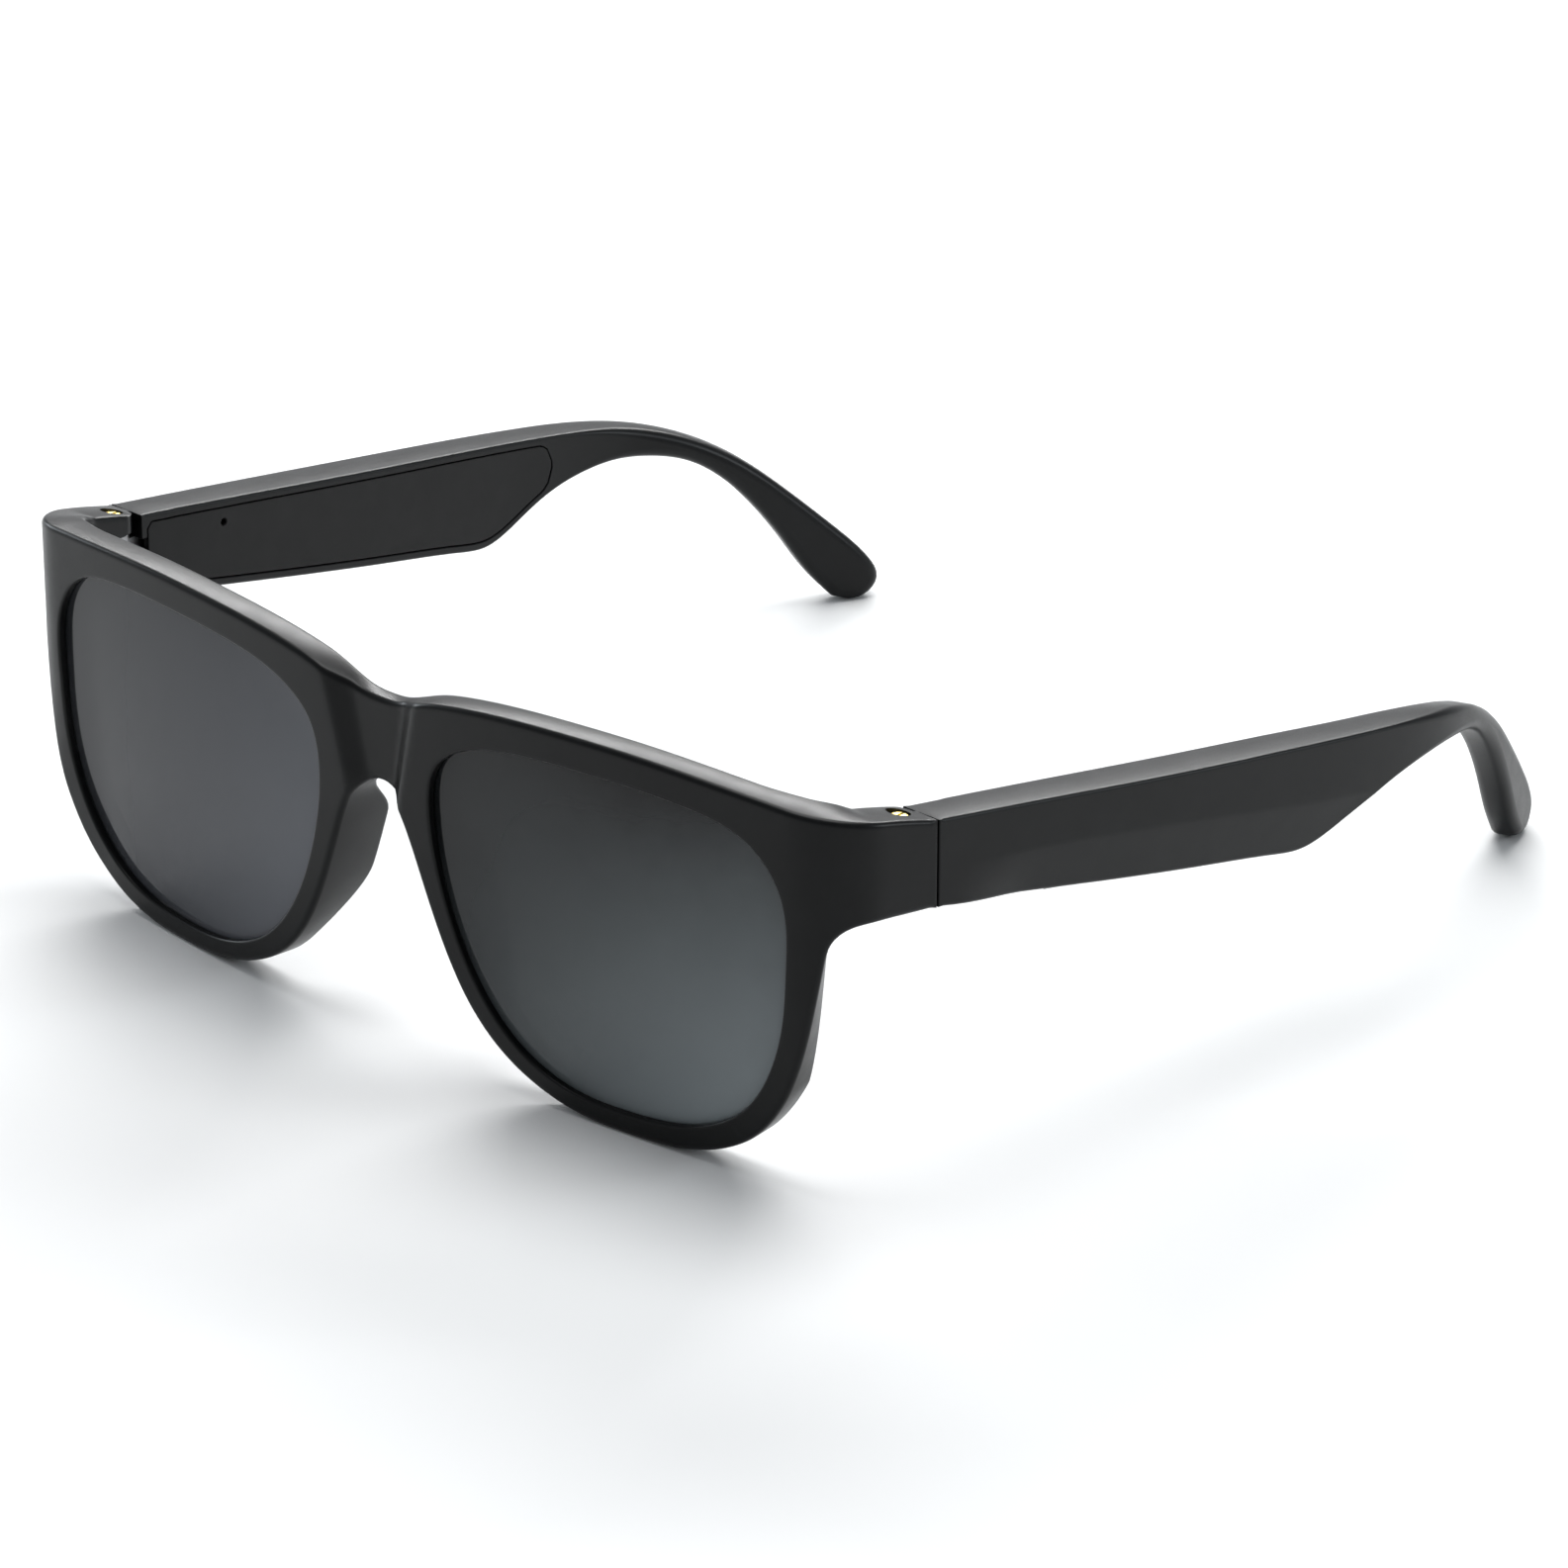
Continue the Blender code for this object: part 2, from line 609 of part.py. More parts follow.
def pod_outline(start, end, margin, spacing):
    """A closed outline set in from the temple's edges, with a round rear end."""
    u = np.linspace(start, end, round((end - start) / spacing))
    top, under = TOP_Z(u) - margin, UNDER_Z(u) + margin
    middle, half = 0.5 * (top + under), 0.5 * (top - under)
    corner = 0.85 * half[-1]
    rear = np.sqrt(np.clip(1 - (np.clip(u - (end - corner), 0, corner) / corner) ** 2, 0, 1))
    front = np.sqrt(np.clip(1 - (np.clip(start + 1 - u, 0, 1)) ** 2, 0, 1))
    grow = (half - corner + corner * rear) - 1.0 * (1 - front)
    upper = np.stack([u, middle + grow], 1)
    lower = np.stack([u, middle - grow], 1)[::-1]
    return np.concatenate([upper, lower])[::-1]


def shell_body(side):
    body = Body(place_temple(side))
    loop = temple_outline(STEP)
    radius = SHELL_FILLET + (HOOK_FILLET - SHELL_FILLET) * smoothstep(78, 100, loop[:, 0])
    outer, inner = edge_rings(body, loop, radius, temple_outer, temple_inner)
    crease = np.stack([np.arange(9, 73, 4.0), CREASE_Z(np.arange(9, 73, 4.0))], 1)
    crease = crease[clear_of(crease, [outer[0]], 0.8)]
    columns = np.concatenate([np.arange(6, 76, 7.0), np.arange(80, 128, 3.2)])
    rows = np.arange(-44, 0, 3.2)
    spots = grid_over([outer[0]], columns, rows, 1.6)
    body.fill([outer], spots[clear_of(spots, [crease], 1.6)], temple_outer, [crease])
    cover = pod_outline(COVER_FRONT, COVER_REAR, COVER_INSET, STEP)
    pocket = pod_outline(POCKET_FRONT, POCKET_REAR, POCKET_INSET, STEP)
    ledge_depth = temple_inner(cover[:, 0], cover[:, 1])
    mouth = body.ring(cover, ledge_depth)
    ledge = body.ring(cover, ledge_depth - COVER_RECESS)
    brink = body.ring(pocket, temple_inner(pocket[:, 0], pocket[:, 1]) - COVER_RECESS)
    floor = body.ring(pocket, temple_outer(pocket[:, 0], pocket[:, 1]) + WALL)
    body.bridge(mouth, ledge)
    body.bridge(brink, floor)
    spots = grid_over([inner[0], cover], columns, rows, 1.6)
    body.fill([inner, (cover, mouth)], spots, temple_inner)
    body.fill([(cover, ledge), (pocket, brink)], np.empty((0, 2)), temple_inner)
    line = crease[inside(crease, pocket) & clear_of(crease, [pocket], 0.8)]
    body.fill([(pocket, floor)], np.empty((0, 2)), lambda u, v: temple_outer(u, v) + WALL, [line])
    return body


def pod(side, span, heights, depths):
    """A closed block in the temple: a span back, heights above its middle line and depths from outside."""
    place = place_temple(side)
    u = np.linspace(span[0], span[1], max(2, round((span[1] - span[0]) / 9) + 1))
    middle = 0.5 * (TOP_Z(u) + UNDER_Z(u))
    body = Body(place)
    for depth in depths:
        for height in heights:
            body.points.extend(place(u, middle + height, np.full(len(u), float(depth))))
    count = len(u)
    rows = [np.arange(count) + k * count for k in (0, 1, 3, 2)]
    for one, other in zip(rows, rows[1:] + rows[:1]):
        for i in range(count - 1):
            body.faces.append((one[i], one[i + 1], other[i + 1], other[i]))
    for i in (0, count - 1):
        body.faces.append(tuple(row[i] for row in rows))
    return body


def block_shape(side, span, heights, depths):
    shape = bmesh.new()
    shape.from_mesh(pod(side, span, heights, depths).mesh("block"))
    bmesh.ops.recalc_face_normals(shape, faces=shape.faces)
    return shape


def under_shape(side, span, low, high, depths):
    """A block that follows the temple's underside, between two heights above it."""
    half = 0.5 * (TOP_Z(np.array(span)) - UNDER_Z(np.array(span)))
    drop = float(half.mean())
    return block_shape(side, span, (low - drop, high - drop), depths)


def at_underside(side, u, depth, above):
    spot = place_temple(side)(np.array([u]), np.array([float(UNDER_Z(u)) + above]), np.array([depth]))
    return tuple(spot[0])


def make_shell(side, tag):
    shell = object_of(f"{tag}_temple_shell", shell_body(side).mesh("shell"), "frame_black")
    slot = strap_outline(0.2, POCKET_FRONT + 0.8)
    slot = [(60, slot[0][1]), slot[1], slot[2], (60, slot[2][1])]
    cut(shell, prism(slot, CAVITY_BOTTOM + EAR + 0.35, CAVITY_TOP - EAR - 0.35, side), f"strap_slot_{tag}")
    ends = [(side * x, STRAP_SCREW_Y, SCREW_MID) for x in (STRAP_X - 2, STRAP_X + 2.5)]
    cut(shell, rod(*ends, SCREW_RADIUS + FIT, 10), f"leaf_hole_{tag}")
    button = (BUTTON_FROM - 0.2, BUTTON_TO + 0.2)
    depths = (BUTTON_OUTER - 0.2, BUTTON_INNER + 0.2)
    cut(shell, under_shape(side, button, -2, 2.6, depths), f"button_slot_{tag}")
    outlet = (OUTLET_FROM, OUTLET_TO)
    cut(shell, under_shape(side, outlet, -2, 2.6, (2.8, 4.6)), f"outlet_slot_{tag}")
    for number, u in enumerate(CONTACTS):
        ends = (at_underside(side, u, UNDER_MIDDLE, -1.5), at_underside(side, u, UNDER_MIDDLE, 2.6))
        cut(shell, rod(*ends, CONTACT_RADIUS + FIT, 12), f"contact_hole_{number}_{tag}")


def make_cover(side, tag):
    body = Body(place_temple(side))
    loop = inset(pod_outline(COVER_FRONT, COVER_REAR, COVER_INSET, STEP), FIT)

    def outside(u, v):
        return THICK(u) - COVER_RECESS + FIT

    def face(u, v):
        return outside(u, v) + COVER_THICKNESS - COVER_SHY

    front, back = edge_rings(body, loop, 0.12, outside, face)
    hole = np.array(disc(MIC_Y, float(TOP_Z(MIC_Y)) - MIC_DROP, MIC_HOLE, 12))
    ends = [body.ring(hole, depth(hole[:, 0], hole[:, 1])) for depth in (outside, face)]
    body.bridge(*ends)
    columns, rows = np.arange(6, 76, 9.0), np.arange(-22, 0, 5.0)
    for rim, ids, depth in ((front, ends[0], outside), (back, ends[1], face)):
        spots = grid_over([rim[0]], columns, rows, 2.4)
        body.fill([rim, (hole, ids)], spots[clear_of(spots, [hole], 2)], depth)
    object_of(f"{tag}_temple_cover", body.mesh("cover"), "cover_black")


# Hinge hardware

STRAP_START = PIN_Y + 0.9
STRAP_X = PIN_X + STRAP_SPLAY * (STRAP_SCREW_Y - STRAP_START)


def strap_outline(margin, end):
    """The leaf's strap from above: it splays outwards with the temple."""
    half = STRAP_HALF + margin
    lean = STRAP_SPLAY * (end - STRAP_START)
    return [(PIN_X - half, STRAP_START), (PIN_X + half, STRAP_START), (PIN_X + lean + half, end),
            (PIN_X + lean - half, end)]


def make_bracket(side, tag):
    """The front leaf: a back plate with two ears that hold the pin."""
    wide = (PIN_X - LEAF_RADIUS, PIN_X + LEAF_RADIUS)
    gap = 0.1
    plate = rectangle(*wide, CAVITY_FRONT + gap, CAVITY_FRONT + gap + 0.8)
    shape = prism(plate, CAVITY_BOTTOM + gap, CAVITY_TOP - gap, side)
    name = f"{tag}_hinge_bracket"
    bracket = object_of(name, mesh_of(shape, name), "steel")
    ear = [(wide[1], CAVITY_FRONT + gap + 0.3)] + arc(PIN_X, PIN_Y, LEAF_RADIUS, 0, 180, 9)
    ear += [(wide[0], CAVITY_FRONT + gap + 0.3)]
    top, bottom, shy = CAVITY_TOP - gap, CAVITY_BOTTOM + gap, 0.004
    levels = ((top - EAR, top - shy), (bottom + shy, bottom + EAR))
    for number, (low, high) in enumerate(levels):
        join(bracket, prism(ear, low, high, side), f"ear_{number}_{tag}")
    bore = prism(disc(PIN_X, PIN_Y, PIN_RADIUS + 0.08, 12), CAVITY_BOTTOM - 2, CAVITY_TOP + 2, side)
    cut(bracket, bore, f"bracket_bore_{tag}")
    ends = ((side * PIN_X, CAVITY_FRONT - 1, SCREW_MID), (side * PIN_X, CAVITY_FRONT + 2, SCREW_MID))
    cut(bracket, rod(*ends, SCREW_RADIUS + 0.08, 10), f"bracket_screw_hole_{tag}")


def make_leaf(side, tag):
    """The temple leaf: a barrel between the ears and a strap that runs into the temple."""
    low, high = CAVITY_BOTTOM + EAR + 0.25, CAVITY_TOP - EAR - 0.25
    name = f"{tag}_hinge_leaf"
    barrel = prism(disc(PIN_X, PIN_Y, LEAF_RADIUS - 0.1, 16), low, high, side)
    leaf = object_of(name, mesh_of(barrel, name), "steel")
    join(leaf, prism(strap_outline(0, STRAP_END), low + 0.3, high - 0.3, side), f"strap_{tag}")
    bore = prism(disc(PIN_X, PIN_Y, PIN_RADIUS + 0.08, 12), low - 2, high + 2, side)
    cut(leaf, bore, f"leaf_bore_{tag}")
    ends = [(side * x, STRAP_SCREW_Y, SCREW_MID) for x in (STRAP_X - 2, STRAP_X + 2)]
    cut(leaf, rod(*ends, SCREW_RADIUS + 0.08, 10), f"leaf_screw_hole_{tag}")


def make_pin(side, tag):
    name = f"{tag}_hinge_pin"
    shaft = prism(disc(PIN_X, PIN_Y, PIN_RADIUS, 12), CAVITY_BOTTOM + 0.15, CAVITY_TOP + 0.4, side)
    pin = object_of(name, mesh_of(shaft, name), "brass")
    head = prism(disc(PIN_X, PIN_Y, PIN_HEAD_RADIUS), CAVITY_TOP + 0.1, PIN_TOP, side)
    join(pin, head, f"pin_head_{tag}")
    reach = PIN_HEAD_RADIUS + 0.5
    slot = rectangle(PIN_X - PIN_SLOT_HALF, PIN_X + PIN_SLOT_HALF, PIN_Y - reach, PIN_Y + reach)
    cut(pin, prism(slot, PIN_TOP - PIN_SLOT_DEPTH, PIN_TOP + 0.5, side), f"pin_slot_{tag}")


def make_screw(name, head, tip, colour="steel"):
    """A countersunk-style screw: a head cylinder and a shank, towards tip."""
    head, tip = Vector(head), Vector(tip)
    along = (tip - head).normalized()
    cap = rod(head, head + along * SCREW_HEAD, SCREW_HEAD_RADIUS, 12)
    screw = object_of(name, mesh_of(cap, name), colour)
    join(screw, rod(head + along * 0.2, tip, SCREW_RADIUS, 10), f"{name}_shank")


def make_hinge(side, tag):
    make_bracket(side, tag)
    make_leaf(side, tag)
    make_pin(side, tag)
    plate = CAVITY_FRONT + 0.1 + 0.8
    head = (side * PIN_X, plate + 0.05 + SCREW_HEAD, SCREW_MID)
    make_screw(f"{tag}_bracket_screw", head, (side * PIN_X, CAVITY_FRONT - 3.1, SCREW_MID))
    head = (side * (STRAP_X - STRAP_HALF - 0.1 - SCREW_HEAD), STRAP_SCREW_Y, SCREW_MID)
    make_screw(f"{tag}_leaf_screw", head, (side * (STRAP_X + 2.3), STRAP_SCREW_Y, SCREW_MID))


# Electronics

def make_block(name, side, span, heights, depths, colour, bevel=0.0):
    made = object_of(name, mesh_of(block_shape(side, span, heights, depths), name), colour)
    if bevel:
        soft = made.modifiers.new("soft_edges", "BEVEL")
        soft.width = bevel * MM
        soft.segments = 1
    return made


def make_electronics(side, tag):
    make_block(f"{tag}_circuit_board", side, (17, 33.4), (-1.9, 3.0), (3.7, 4.5), "board_green")
    make_block(f"{tag}_wireless_module", side, (21, 29), (-0.9, 2.8), (2.6, 3.62), "foil_silver")
    make_block(f"{tag}_button_switch", side, (22.5, 25.5), (-1.9, -0.95), (2.2, 3.62), "steel")
    make_block(f"{tag}_touch_sensor", side, (17, 45), (0.4, 3.0), (1.45, 1.7), "flex_amber")
    make_block(f"{tag}_battery", side, (34.4, 51.6), (-2.3, 3.5), (2.25, 4.5), "foil_silver", 0.5)
    make_block(f"{tag}_speaker", side, (53.4, 63.4), (-3, 3.4), (2.3, 4.5), "speaker_black", 0.6)
    make_block(f"{tag}_antenna", side, (65.4, 72), (-1.8, 2), (1.9, 2.2), "flex_amber")
    make_block(f"{tag}_microphone", side, (13.6, 16.1), (0.4, 2.6), (3.4, 4.55), "foil_silver")
    mesh = under_shape(side, (OUTLET_FROM + 0.2, OUTLET_TO - 0.2), 0.45, 0.95, (2.95, 4.45))
    object_of(f"{tag}_speaker_mesh", mesh_of(mesh, "mesh"), "mesh_dark")
    ends = (at_underside(side, MAGNET_Y, UNDER_MIDDLE, height) for height in MAGNET_HEIGHTS)
    magnet = rod(*ends, MAGNET_RADIUS, 12)
    object_of(f"{tag}_charging_magnet", mesh_of(magnet, "magnet"), "magnet_nickel")
    for number, u in enumerate(CONTACTS):
        ends = (at_underside(side, u, UNDER_MIDDLE, 0.2), at_underside(side, u, UNDER_MIDDLE, 2.8))
        place = ("front", "rear")[number]
        contact = mesh_of(rod(*ends, CONTACT_RADIUS, 12), "contact")
        object_of(f"{tag}_charging_contact_{place}", contact, "gold_contact")


def make_button(side, tag):
    """The key in the underside: a cap in the slot and a wider flange inside that keeps it in."""
    cap = under_shape(side, (BUTTON_FROM, BUTTON_TO), -0.35, 2.5, (BUTTON_OUTER, BUTTON_INNER))
    key = object_of(f"{tag}_button", mesh_of(cap, "button"), "cover_black")
    flange = under_shape(side, (BUTTON_FROM - 0.7, BUTTON_TO + 0.7), 2.4, 2.75,
                         (BUTTON_OUTER + 0.05, BUTTON_INNER - 0.05))
    join(key, flange, f"button_flange_{tag}")


def main():
    clear_scene()
    make_front()
    for side, tag in ((1, "left"), (-1, "right")):
        make_lens(side)
        make_hinge(side, tag)
        make_shell(side, tag)
        make_cover(side, tag)
        make_electronics(side, tag)
        make_button(side, tag)


main()
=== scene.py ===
"""The looks of a pair of smart glasses.

Fine meshes, materials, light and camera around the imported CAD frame. The object's lengths are in
millimetres: depth 0 is the split between the front and the temples, and height 0 is that split's upper
edge. The camera, the lights and the floor are in metres.
"""

import math

import bmesh
import bpy
import numpy as np
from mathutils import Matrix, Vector
from mathutils.geometry import delaunay_2d_cdt


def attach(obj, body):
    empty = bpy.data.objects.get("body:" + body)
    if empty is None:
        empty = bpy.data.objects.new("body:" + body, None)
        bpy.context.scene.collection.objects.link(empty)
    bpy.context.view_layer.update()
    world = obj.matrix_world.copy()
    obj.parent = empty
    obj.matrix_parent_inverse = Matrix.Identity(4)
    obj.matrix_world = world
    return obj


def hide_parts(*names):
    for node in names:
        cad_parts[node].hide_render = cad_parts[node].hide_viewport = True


MM = 0.001

# Overall placing
FLOOR_DROP = 45.1  # hinge line above the surface the glasses stand on
MID_DEPTH = 53.33

# Front, seen from above: a shallow bow, a round corner, then a straight side to the split
BOW_APEX = -22.2
BOW_DEPTH = 6.6
BOW_HALF = 70.0
BOW_END = 64.2
CORNER_RADIUS = 9.5
SIDE_SPLAY = 0.08
HALF_WIDTH = 72.7
FRONT_LEAN = 0.032
FRONT_THICKNESS = 4.4
ENDPIECE_THICKNESS = 6.1
RIM_FILLET = 0.7
END_S = 85.5
END_HEIGHT = 11.1

# Front outline, half of it, as (distance along the bow, height)
BROW = ((0, 0.5), (3, 0.7), (6, 1.6), (9.5, 2.8), (14, 3.7), (22, 4.6), (32, 5.1), (42, 5.2),
        (52, 4.8), (62, 4.1), (70, 3.3), (76, 2.3), (81, 1.2), (END_S, 0))
RIM = ((END_S, -END_HEIGHT), (80, -10.6), (75, -10.3), (72.2, -10.8), (70.3, -12.4), (69.4, -15.2),
       (68.6, -19.2), (67.5, -24.2), (65.7, -30), (62.9, -35.4), (59, -39.9), (53.4, -43.2), (46.8, -44.8),
       (40, -45.08), (33, -44.8), (25.7, -43), (19.8, -39.9), (15.4, -35.8), (12.1, -30.8), (9.5, -25.3),
       (7.3, -19.8), (5.4, -15.2), (3.3, -12), (0, -10.6))
LENS = ((64.3, -16.5), (63.6, -7.2), (59.6, -2), (50.5, 0.6), (36.5, 1), (24.5, 0.4), (16, -1.6),
        (11.2, -5.2), (9.8, -11.5), (11.3, -20.5), (15.6, -30.6), (22.3, -38.1), (31, -41.8),
        (40.5, -42.3), (50, -41), (57.2, -37), (61.6, -30.6), (63.7, -23.5))

# Bridge recess and moulded nose pads
RECESS_DEPTH = 1.6
RECESS_FOOT = ((5.2, 3), (2.4, -11))
RECESS_RIM = ((8.6, 4), (4.4, -12))
PAD_DEPTH = 4.5
PAD_TOP, PAD_FULL, PAD_EASE, PAD_BOTTOM = -11.5, -19, -27, -38
PAD_INNER, PAD_OUTER = 16, 24

# Lenses and their groove
GROOVE_FRONT, GROOVE_BACK, GROOVE_DEPTH = 0.9, 2.9, 0.8
LENS_FRONT, LENS_THICKNESS, LENS_TUCK, LENS_DOME = 1.1, 1.6, 0.5, 0.7

# Temple, seen from above (outer surface) and from the side
TEMPLE_PATH = ((0, 72.7), (20, 74), (40, 75.2), (60, 76), (74, 76.2), (84, 75.8), (92, 74.7), (100, 72.3),
               (108, 69.2), (116, 65.9), (124, 62.4), (131, 59.2))
TEMPLE_THICKNESS = ((0, 5.9), (60, 6), (76, 5.5), (92, 5), (108, 4.6), (131, 4.2))
TEMPLE_TOP = ((0.3, 0), (15, -2.1), (30, -4.3), (46, -6.6), (62, -8.8), (76, -10.8), (86, -12.3), (95, -14.2),
              (102.3, -16.9), (109.2, -21), (117, -27.7), (124, -34.6), (128.1, -39.3), (129.25, -42.2),
              (128.1, -44.3), (125.6, -45.08), (122.8, -44.2))
TEMPLE_BELLY = ((122.8, -44.2), (119.6, -40.4), (115.6, -34.2), (111.6, -28.6), (107.3, -23.9), (102.5, -20.5),
                (96, -18.5), (90, -17.8), (84, -18), (78.4, -18.9), (72.8, -20.8), (68.2, -22.7), (64.5, -23.6),
                (59, -22.9), (46, -20.4), (30, -17.3), (15, -14.2), (0.3, -END_HEIGHT))
CREASE = ((6, -7.2), (13, -7.9), (30, -10.5), (46, -13.4), (62, -16.5), (74, -18.6))
CREASE_SLOPE, CREASE_SOFTNESS = 0.24, 0.25
FACET_START, FACET_END = (3, 16), (70, 84)
SHELL_FILLET, HOOK_FILLET = 0.45, 1.4

# Pocket and inner cover
COVER_FRONT, COVER_REAR, COVER_INSET, COVER_RECESS, COVER_THICKNESS = 1.3, 77.5, 1.1, 1.15, 1.0
POCKET_FRONT, POCKET_REAR, POCKET_INSET, WALL = 12.4, 74.5, 2.1, 1.3
FIT = 0.15

# Hinge
PIN_X, PIN_Y = 69.0, -2.75
KNUCKLE_RADIUS = 2.5
CAVITY_TOP, CAVITY_BOTTOM, CAVITY_FRONT, CAVITY_SIDE = -1.9, -8.2, -7.4, 71.4
PIN_HOLE_RADIUS = 1.5
EAR = 1.05
LEAF_RADIUS = 2.1
PIN_RADIUS, PIN_HEAD_RADIUS = 0.65, 1.3
PIN_TOP, PIN_SLOT_HALF, PIN_SLOT_DEPTH = 0.45, 0.2, 0.45
STRAP_HALF, STRAP_END, STRAP_SPLAY = 0.5, 11.0, 0.075
STRAP_SCREW_Y = 7.0
SCREW_RADIUS, SCREW_HEAD_RADIUS, SCREW_HEAD = 0.6, 1.1, 0.6
SCREW_MID = 0.5 * (CAVITY_TOP + CAVITY_BOTTOM)
THREAD_PITCH, THREAD_DEPTH = 0.3, 0.1
BRACKET_GAP, BRACKET_PLATE = 0.1, 0.8
BORE_FIT = 0.08
CUT_X, CUT_Y = 62, 3  # the endpiece's cutters run out past its inner and rear faces

# Openings in the temple's underside and inner cover
MIC_Y, MIC_DROP, MIC_HOLE = 14.6, 3.2, 0.5
BUTTON_FROM, BUTTON_TO = 20.0, 28.0
BUTTON_OUTER, BUTTON_INNER = 2.75, 4.55
UNDER_MIDDLE = 3.7
OUTLET_FROM, OUTLET_TO = 54.5, 61.5
CONTACTS = (37.0, 44.0)
CONTACT_RADIUS = 0.9
GRILLE_ROWS, GRILLE_PITCH, GRILLE_HOLE = (3.28, 3.7, 4.12), 0.62, 0.15

# Mesh fineness
STEP = 0.8
LENS_STEP = 1.0
FINE = 0.55
FILLET_STEPS = 5
ROUND = 48
END_FILLET = 0.15

# Camera and stage
CAMERA_SPOT = (0.5675931, -0.5913625, 0.3668546)
CAMERA_TILT, CAMERA_TURN = 66.5403, 44.0
CAMERA_LENS, CAMERA_SENSOR = 158.99, 36.0


# Curves in the plane

def cubic(knots, values):
    """A natural cubic spline through values at knots, as a function."""
    knots, values = np.asarray(knots, float), np.asarray(values, float)
    gap = np.diff(knots)
    count = len(knots)
    left, right = np.eye(count), np.zeros(count)
    for i in range(1, count - 1):
        left[i, i - 1:i + 2] = gap[i - 1], 2 * (gap[i - 1] + gap[i]), gap[i]
        right[i] = 6 * ((values[i + 1] - values[i]) / gap[i] - (values[i] - values[i - 1]) / gap[i - 1])
    bend = np.linalg.solve(left, right)

    def at(t):
        t = np.asarray(t, float)
        i = np.clip(np.searchsorted(knots, t) - 1, 0, count - 2)
        h, a, b = gap[i], (knots[i + 1] - t) / gap[i], (t - knots[i]) / gap[i]
        curve = ((a ** 3 - a) * bend[i] + (b ** 3 - b) * bend[i + 1]) * h ** 2 / 6
        return a * values[i] + b * values[i + 1] + curve

    return at


def run_length(track):
    return np.concatenate([[0], np.cumsum(np.hypot(*np.diff(track, axis=0).T))])


def evenly(track, spacing):
    """Points spaced evenly along a track, with both of its ends."""
    length = run_length(track)
    even = np.linspace(0, length[-1], max(2, round(length[-1] / spacing) + 1))
    return np.stack([np.interp(even, length, column) for column in track.T], 1)


def run_through(points, spacing):
    """Points spaced evenly along a smooth open curve through the given ones."""
    points = np.asarray(points, float)
    chord = run_length(points)
    x, y = cubic(chord, points[:, 0]), cubic(chord, points[:, 1])
    fine = np.linspace(0, chord[-1], 40 * len(points))
    return evenly(np.stack([x(fine), y(fine)], 1), spacing)


def ring_through(points, spacing):
    """The same for a closed curve, without repeating its first point."""
    points = [tuple(p) for p in points]
    overlap = 4
    wrapped = points[-overlap:] + points + points[:overlap + 1]
    dense = run_through(wrapped, 0.2)
    start = np.hypot(*(dense - points[0]).T)
    half = len(dense) // 2
    first = start[:half].argmin()
    last = half + start[half:].argmin()
    return evenly(dense[first:last + 1], spacing)[:-1]


def area(loop):
    x, y = loop.T
    return 0.5 * float(np.sum(x * np.roll(y, -1) - np.roll(x, -1) * y))


def inset(loop, distance):
    """The loop moved towards its inside, or outwards where distance is negative."""
    ahead, behind = np.roll(loop, -1, 0) - loop, loop - np.roll(loop, 1, 0)
    normals = []
    for edge in (ahead, behind):
        edge = edge / np.maximum(np.hypot(*edge.T), 1e-9)[:, None]
        normals.append(np.stack([-edge[:, 1], edge[:, 0]], 1))
    middle = normals[0] + normals[1]
    middle = middle / np.maximum((middle * normals[0]).sum(1), 0.5)[:, None]
    distance = np.broadcast_to(distance, len(loop))
    return loop + middle * distance[:, None] * np.sign(area(loop))


def inside(points, loop):
    """True for each point within the loop."""
    x, y = points[:, 0:1], points[:, 1:2]
    (ax, ay), (bx, by) = loop.T, np.roll(loop, -1, 0).T
    crosses = (ay > y) != (by > y)
    with np.errstate(divide="ignore", invalid="ignore"):
        where = ax + (y - ay) * (bx - ax) / (by - ay)
    return (np.sum(crosses & (x < where), 1) % 2).astype(bool)


def clear_of(points, loops, distance):
    """True for each point that is further than a distance from every loop's points."""
    far = np.ones(len(points), bool)
    for loop in loops:
        gaps = points[:, None] - loop[None]
        far &= np.hypot(gaps[..., 0], gaps[..., 1]).min(1) > distance
    return far


def smoothstep(low, high, value):
    t = np.clip((np.asarray(value, float) - low) / (high - low), 0, 1)
    return t * t * (3 - 2 * t)


# Closed bodies made of sheets over a flat outline

